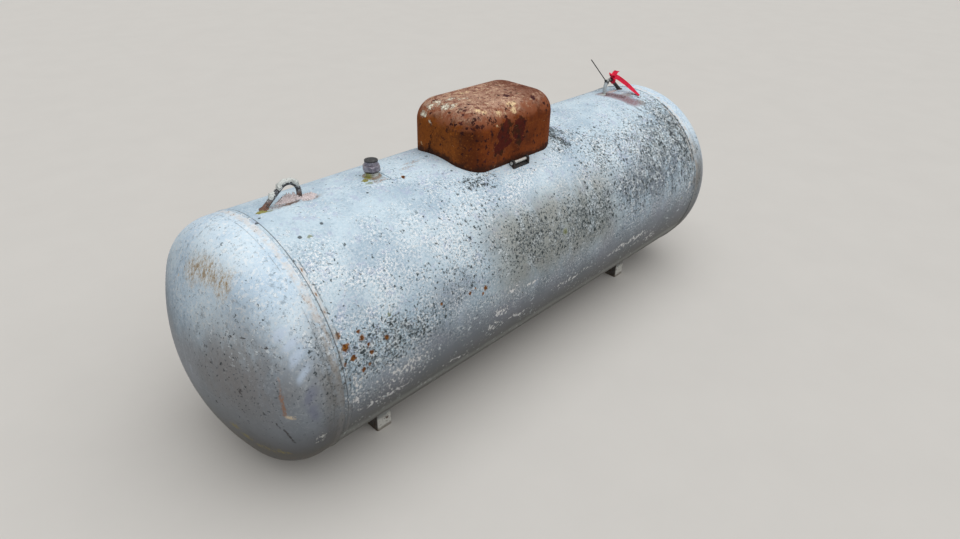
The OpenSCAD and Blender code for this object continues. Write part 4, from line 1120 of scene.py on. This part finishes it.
def strip(name, points, sides, width, cloth):
    """A strip of ribbon along a smooth line, with its width along the given side at each point."""
    line = smooth_line(points, RIBBON_STEPS)
    across = smooth_line(sides, RIBBON_STEPS)
    rings = []
    for place, side in zip(line, across):
        side = side.normalized()
        curl = lump(place, 45, 2.0) * 0.004
        ahead = side.orthogonal().normalized()
        rings.append([place + side * width * share + ahead * curl * (1 - (2 * share) ** 2)
                      for share in (-0.5, -0.3, -0.1, 0.1, 0.3, 0.5)])
    piece = skin(name, rings, cloth, closed=False)
    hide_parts("marker_ribbon")
    length = sum((after - before).length for before, after in zip(line, line[1:]))


def add_ribbon():
    """A crimson ribbon tied round the far lug's slope: its turn, a short loop, a flap and the loose end."""
    cloth = ribbon_cloth()
    up, back, along, foot = lug_frame(1, FAR_LUG_TURN)
    start = foot + along * LUG_SLOPE[0] + up * LUG_SLOPE[1]
    down = (along * (LUG_FOOT_GAP - LUG_SLOPE[0]) - up * LUG_SLOPE[1]).normalized()
    out = down.cross(back)
    knot = start - down * 0.006

    raised = out * 0.008
    turns = []
    for step in range(RIBBON_TURN_STEPS):
        angle = math.radians(-100 + 30 * step)
        radius = BAR_RADIUS + 0.0016 + 0.0002 * step
        ring = (out * math.cos(angle) + back * math.sin(angle)) * radius
        turns.append(knot + ring + raised * max(math.cos(angle), 0) + down * 0.0004 * step)
    strip("ribbon_turn", turns, [down] * len(turns), 0.024, cloth)
    tie = knot + out * (BAR_RADIUS + 0.003) + raised - back * 0.006 - down * 0.010
    upward = (out * 0.6 + up * 0.4).normalized()
    loop = [tie, tie - along * 0.014 + up * 0.012, tie - along * 0.030 + up * 0.014 - back * 0.004,
            tie - along * 0.036 + up * 0.002 - back * 0.012, tie - along * 0.026 - up * 0.008 - back * 0.014,
            tie - along * 0.010 - up * 0.004 - back * 0.010, tie - back * 0.006]
    face = (along * 0.35 + up * 0.25 + back * 0.9).normalized()
    strip("ribbon_loop", loop, [face] * len(loop), 0.038, cloth)
    flap = [tie, tie + along * 0.004 + upward * 0.009, tie + along * 0.010 + upward * 0.018,
            tie + along * 0.018 + upward * 0.026 - back * 0.004]
    broad = (along * 0.60 - back * 0.75 - up * 0.20).normalized()
    strip("ribbon_flap", flap, [broad] * len(flap), 0.028, cloth)
    spots = ((0.0, 0.0, 0.0), (0.014, -0.018, -0.008), (0.028, -0.042, -0.026), (0.041, -0.066, -0.046),
             (0.052, -0.090, -0.068), (0.061, -0.110, -0.086), (0.069, -0.126, -0.100))
    tail = [tie + along * x + back * y + up * z for x, y, z in spots]
    on_edge = (along * 0.62 + up * 0.72).normalized()
    lying = (along * 0.85 + back * 0.35).normalized()
    sides = [on_edge.lerp(lying, share) for share in (0, 0.05, 0.1, 0.2, 0.4, 0.7, 0.9)]
    strip("ribbon_tail", tail, sides, 0.026, cloth)


def dress(material, *names):
    """Gives CAD nodes a material."""
    for name in names:
        for slot in NODES[name].material_slots:
            slot.material = material


def dress_all():
    """Every CAD node's material, and then the pieces that the scene adds."""
    barrel = barrel_paint()
    dress(barrel, "shell", "long_weld", "girth_weld_near", "girth_weld_far", "data_plate", "leg_pads")
    dress(head_paint("near_head_paint", True), "head_near")
    dress(head_paint("far_head_paint", False), "head_far")
    dress(hood_rust(), "hood", "hood_ear_near", "hood_ear_far")
    near_iron = lug_paint("near_lug_paint", False)
    dress(near_iron, "lug_near")
    dress(lug_paint("far_lug_paint", True), "lug_far")
    rusty = worn("rusty_iron", (104, 72, 54), (70, 46, 34), 0.75, 0.1, 90, 0.7, 0.001)
    dress(rusty, "hinge_bracket_near", "hinge_bracket_far")
    dress(worn("dark_iron", (30, 27, 26), (62, 42, 32), 0.7, 0.1, 110, 0.5, 0.001), "catch_bracket")
    dress(worn("bright_bar", (206, 204, 198), (150, 128, 108), 0.35, 0.5, 120, 0.35), "catch_bar")
    pin_steel = worn("pin_steel", (128, 116, 106), (96, 62, 44), 0.5, 0.5, 120, 0.6)
    dress(pin_steel, "hinge_pin_near", "hinge_pin_far")
    dress(leg_paint(), "leg_front_near", "leg_front_far", "leg_back_near", "leg_back_far")
    dress(collar_paint(), "relief_coupling")
    dress(relief_paint(), "relief_valve")
    pale = worn("pale_paint", (178, 182, 178), (134, 112, 88), 0.7, 0.0, 80, 0.55, 0.001)
    dress(pale, "service_coupling", "gauge_coupling", "fill_coupling", "vapour_coupling")
    brass = worn("brass", (186, 156, 96), (112, 118, 92), 0.4, 0.8, 110, 0.5)
    dress(brass, "service_valve", "fill_valve", "vapour_valve", "level_vent")
    dress(worn("plug_brass", (160, 128, 78), (92, 84, 62), 0.45, 0.8, 110, 0.6), "outlet_plug")
    alloy = worn("gauge_alloy", (168, 166, 160), (120, 112, 100), 0.45, 0.7, 110, 0.5)
    dress(alloy, "float_gauge")
    black = gloss_paint("black_plastic", (30, 30, 31), 0.5)
    dress(black, "rain_cap", "fill_cap", "vapour_cap", "cable_tie")
    dress(gloss_paint("wheel_red", (168, 46, 36)), "handwheel")
    add_crusts()
    add_welds(near_iron, pale)
    add_gauge(dial_face(), clear_plastic(), alloy)
    add_ribbon()


def seen_share(tree):
    """1 for what the camera sees straight, mirrored or through glass, and 0 for light on the object."""
    path = tree.nodes.new("ShaderNodeLightPath")
    share = path.outputs["Is Camera Ray"]
    for name in ("Is Glossy Ray", "Is Transmission Ray"):
        either = tree.nodes.new("ShaderNodeMath")
        either.operation = "MAXIMUM"
        tree.links.new(share, either.inputs[0])
        tree.links.new(path.outputs[name], either.inputs[1])
        share = either.outputs[0]
    return share


def add_floor():
    """A wide plain floor, pale to the camera and dark as gravel to the object."""
    mesh = bpy.data.meshes.new("floor")
    half = FLOOR_HALF
    corners = [(-half, -half, 0), (half, -half, 0), (half, half, 0), (-half, half, 0)]
    mesh.from_pydata(corners, [], [(0, 1, 2, 3)])
    floor = bpy.data.objects.new("floor", mesh)
    bpy.context.scene.collection.objects.link(floor)
    paint = Paint("floor", roughness=0.9, gloss=0.0)
    mottle = paint.noise(paint.place, 2.5, 4, 0.6)
    shown = paint.mix(FLOOR_SEEN, tuple(c * 0.97 for c in FLOOR_SEEN), mottle)
    share = Field(paint, seen_share(paint.tree))
    paint.colour = paint.mix(FLOOR_BOUNCE, shown, share)
    mesh.materials.append(paint.finish())


def add_world():
    """A plain sky, brighter to the camera than to the object."""
    world = bpy.data.worlds.new("plain_sky")
    bpy.context.scene.world = world
    world.use_nodes = True
    background = world.node_tree.nodes["Background"]
    background.inputs["Color"].default_value = (1, 1, 1, 1)
    level = world.node_tree.nodes.new("ShaderNodeMapRange")
    level.inputs["To Min"].default_value = WORLD_LEVEL
    level.inputs["To Max"].default_value = BACKDROP_LEVEL
    world.node_tree.links.new(seen_share(world.node_tree), level.inputs["Value"])
    world.node_tree.links.new(level.outputs["Result"], background.inputs["Strength"])


def add_lamp():
    lamp = bpy.data.objects.new("overcast", bpy.data.lights.new("overcast", "SUN"))
    lamp.data.energy = LAMP_LEVEL
    lamp.data.angle = math.radians(LAMP_WIDTH)
    lamp.rotation_euler = (math.radians(LAMP_LEAN), 0, 0)
    bpy.context.scene.collection.objects.link(lamp)


def add_camera():
    """The camera where the photograph was taken from."""
    yaw, pitch, roll = (math.radians(a) for a in (CAMERA_YAW, CAMERA_PITCH, CAMERA_ROLL))
    ahead = Vector((math.sin(yaw) * math.cos(pitch), math.cos(yaw) * math.cos(pitch), -math.sin(pitch)))
    level_right = Vector((math.cos(yaw), -math.sin(yaw), 0))
    level_up = level_right.cross(ahead)
    right = level_right * math.cos(roll) + level_up * math.sin(roll)
    up = level_up * math.cos(roll) - level_right * math.sin(roll)
    camera = bpy.data.objects.new("camera", bpy.data.cameras.new("camera"))
    camera.data.lens = CAMERA_LENS
    camera.data.sensor_width = SENSOR_WIDTH
    camera.data.clip_end = 200
    camera.matrix_world = Matrix.Translation(CAMERA_PLACE) @ Matrix((right, up, -ahead)).transposed().to_4x4()
    bpy.context.scene.collection.objects.link(camera)
    bpy.context.scene.camera = camera


add_camera()
add_world()
add_lamp()
add_floor()
dress_all()
bpy.context.scene.view_settings.view_transform = "Standard"
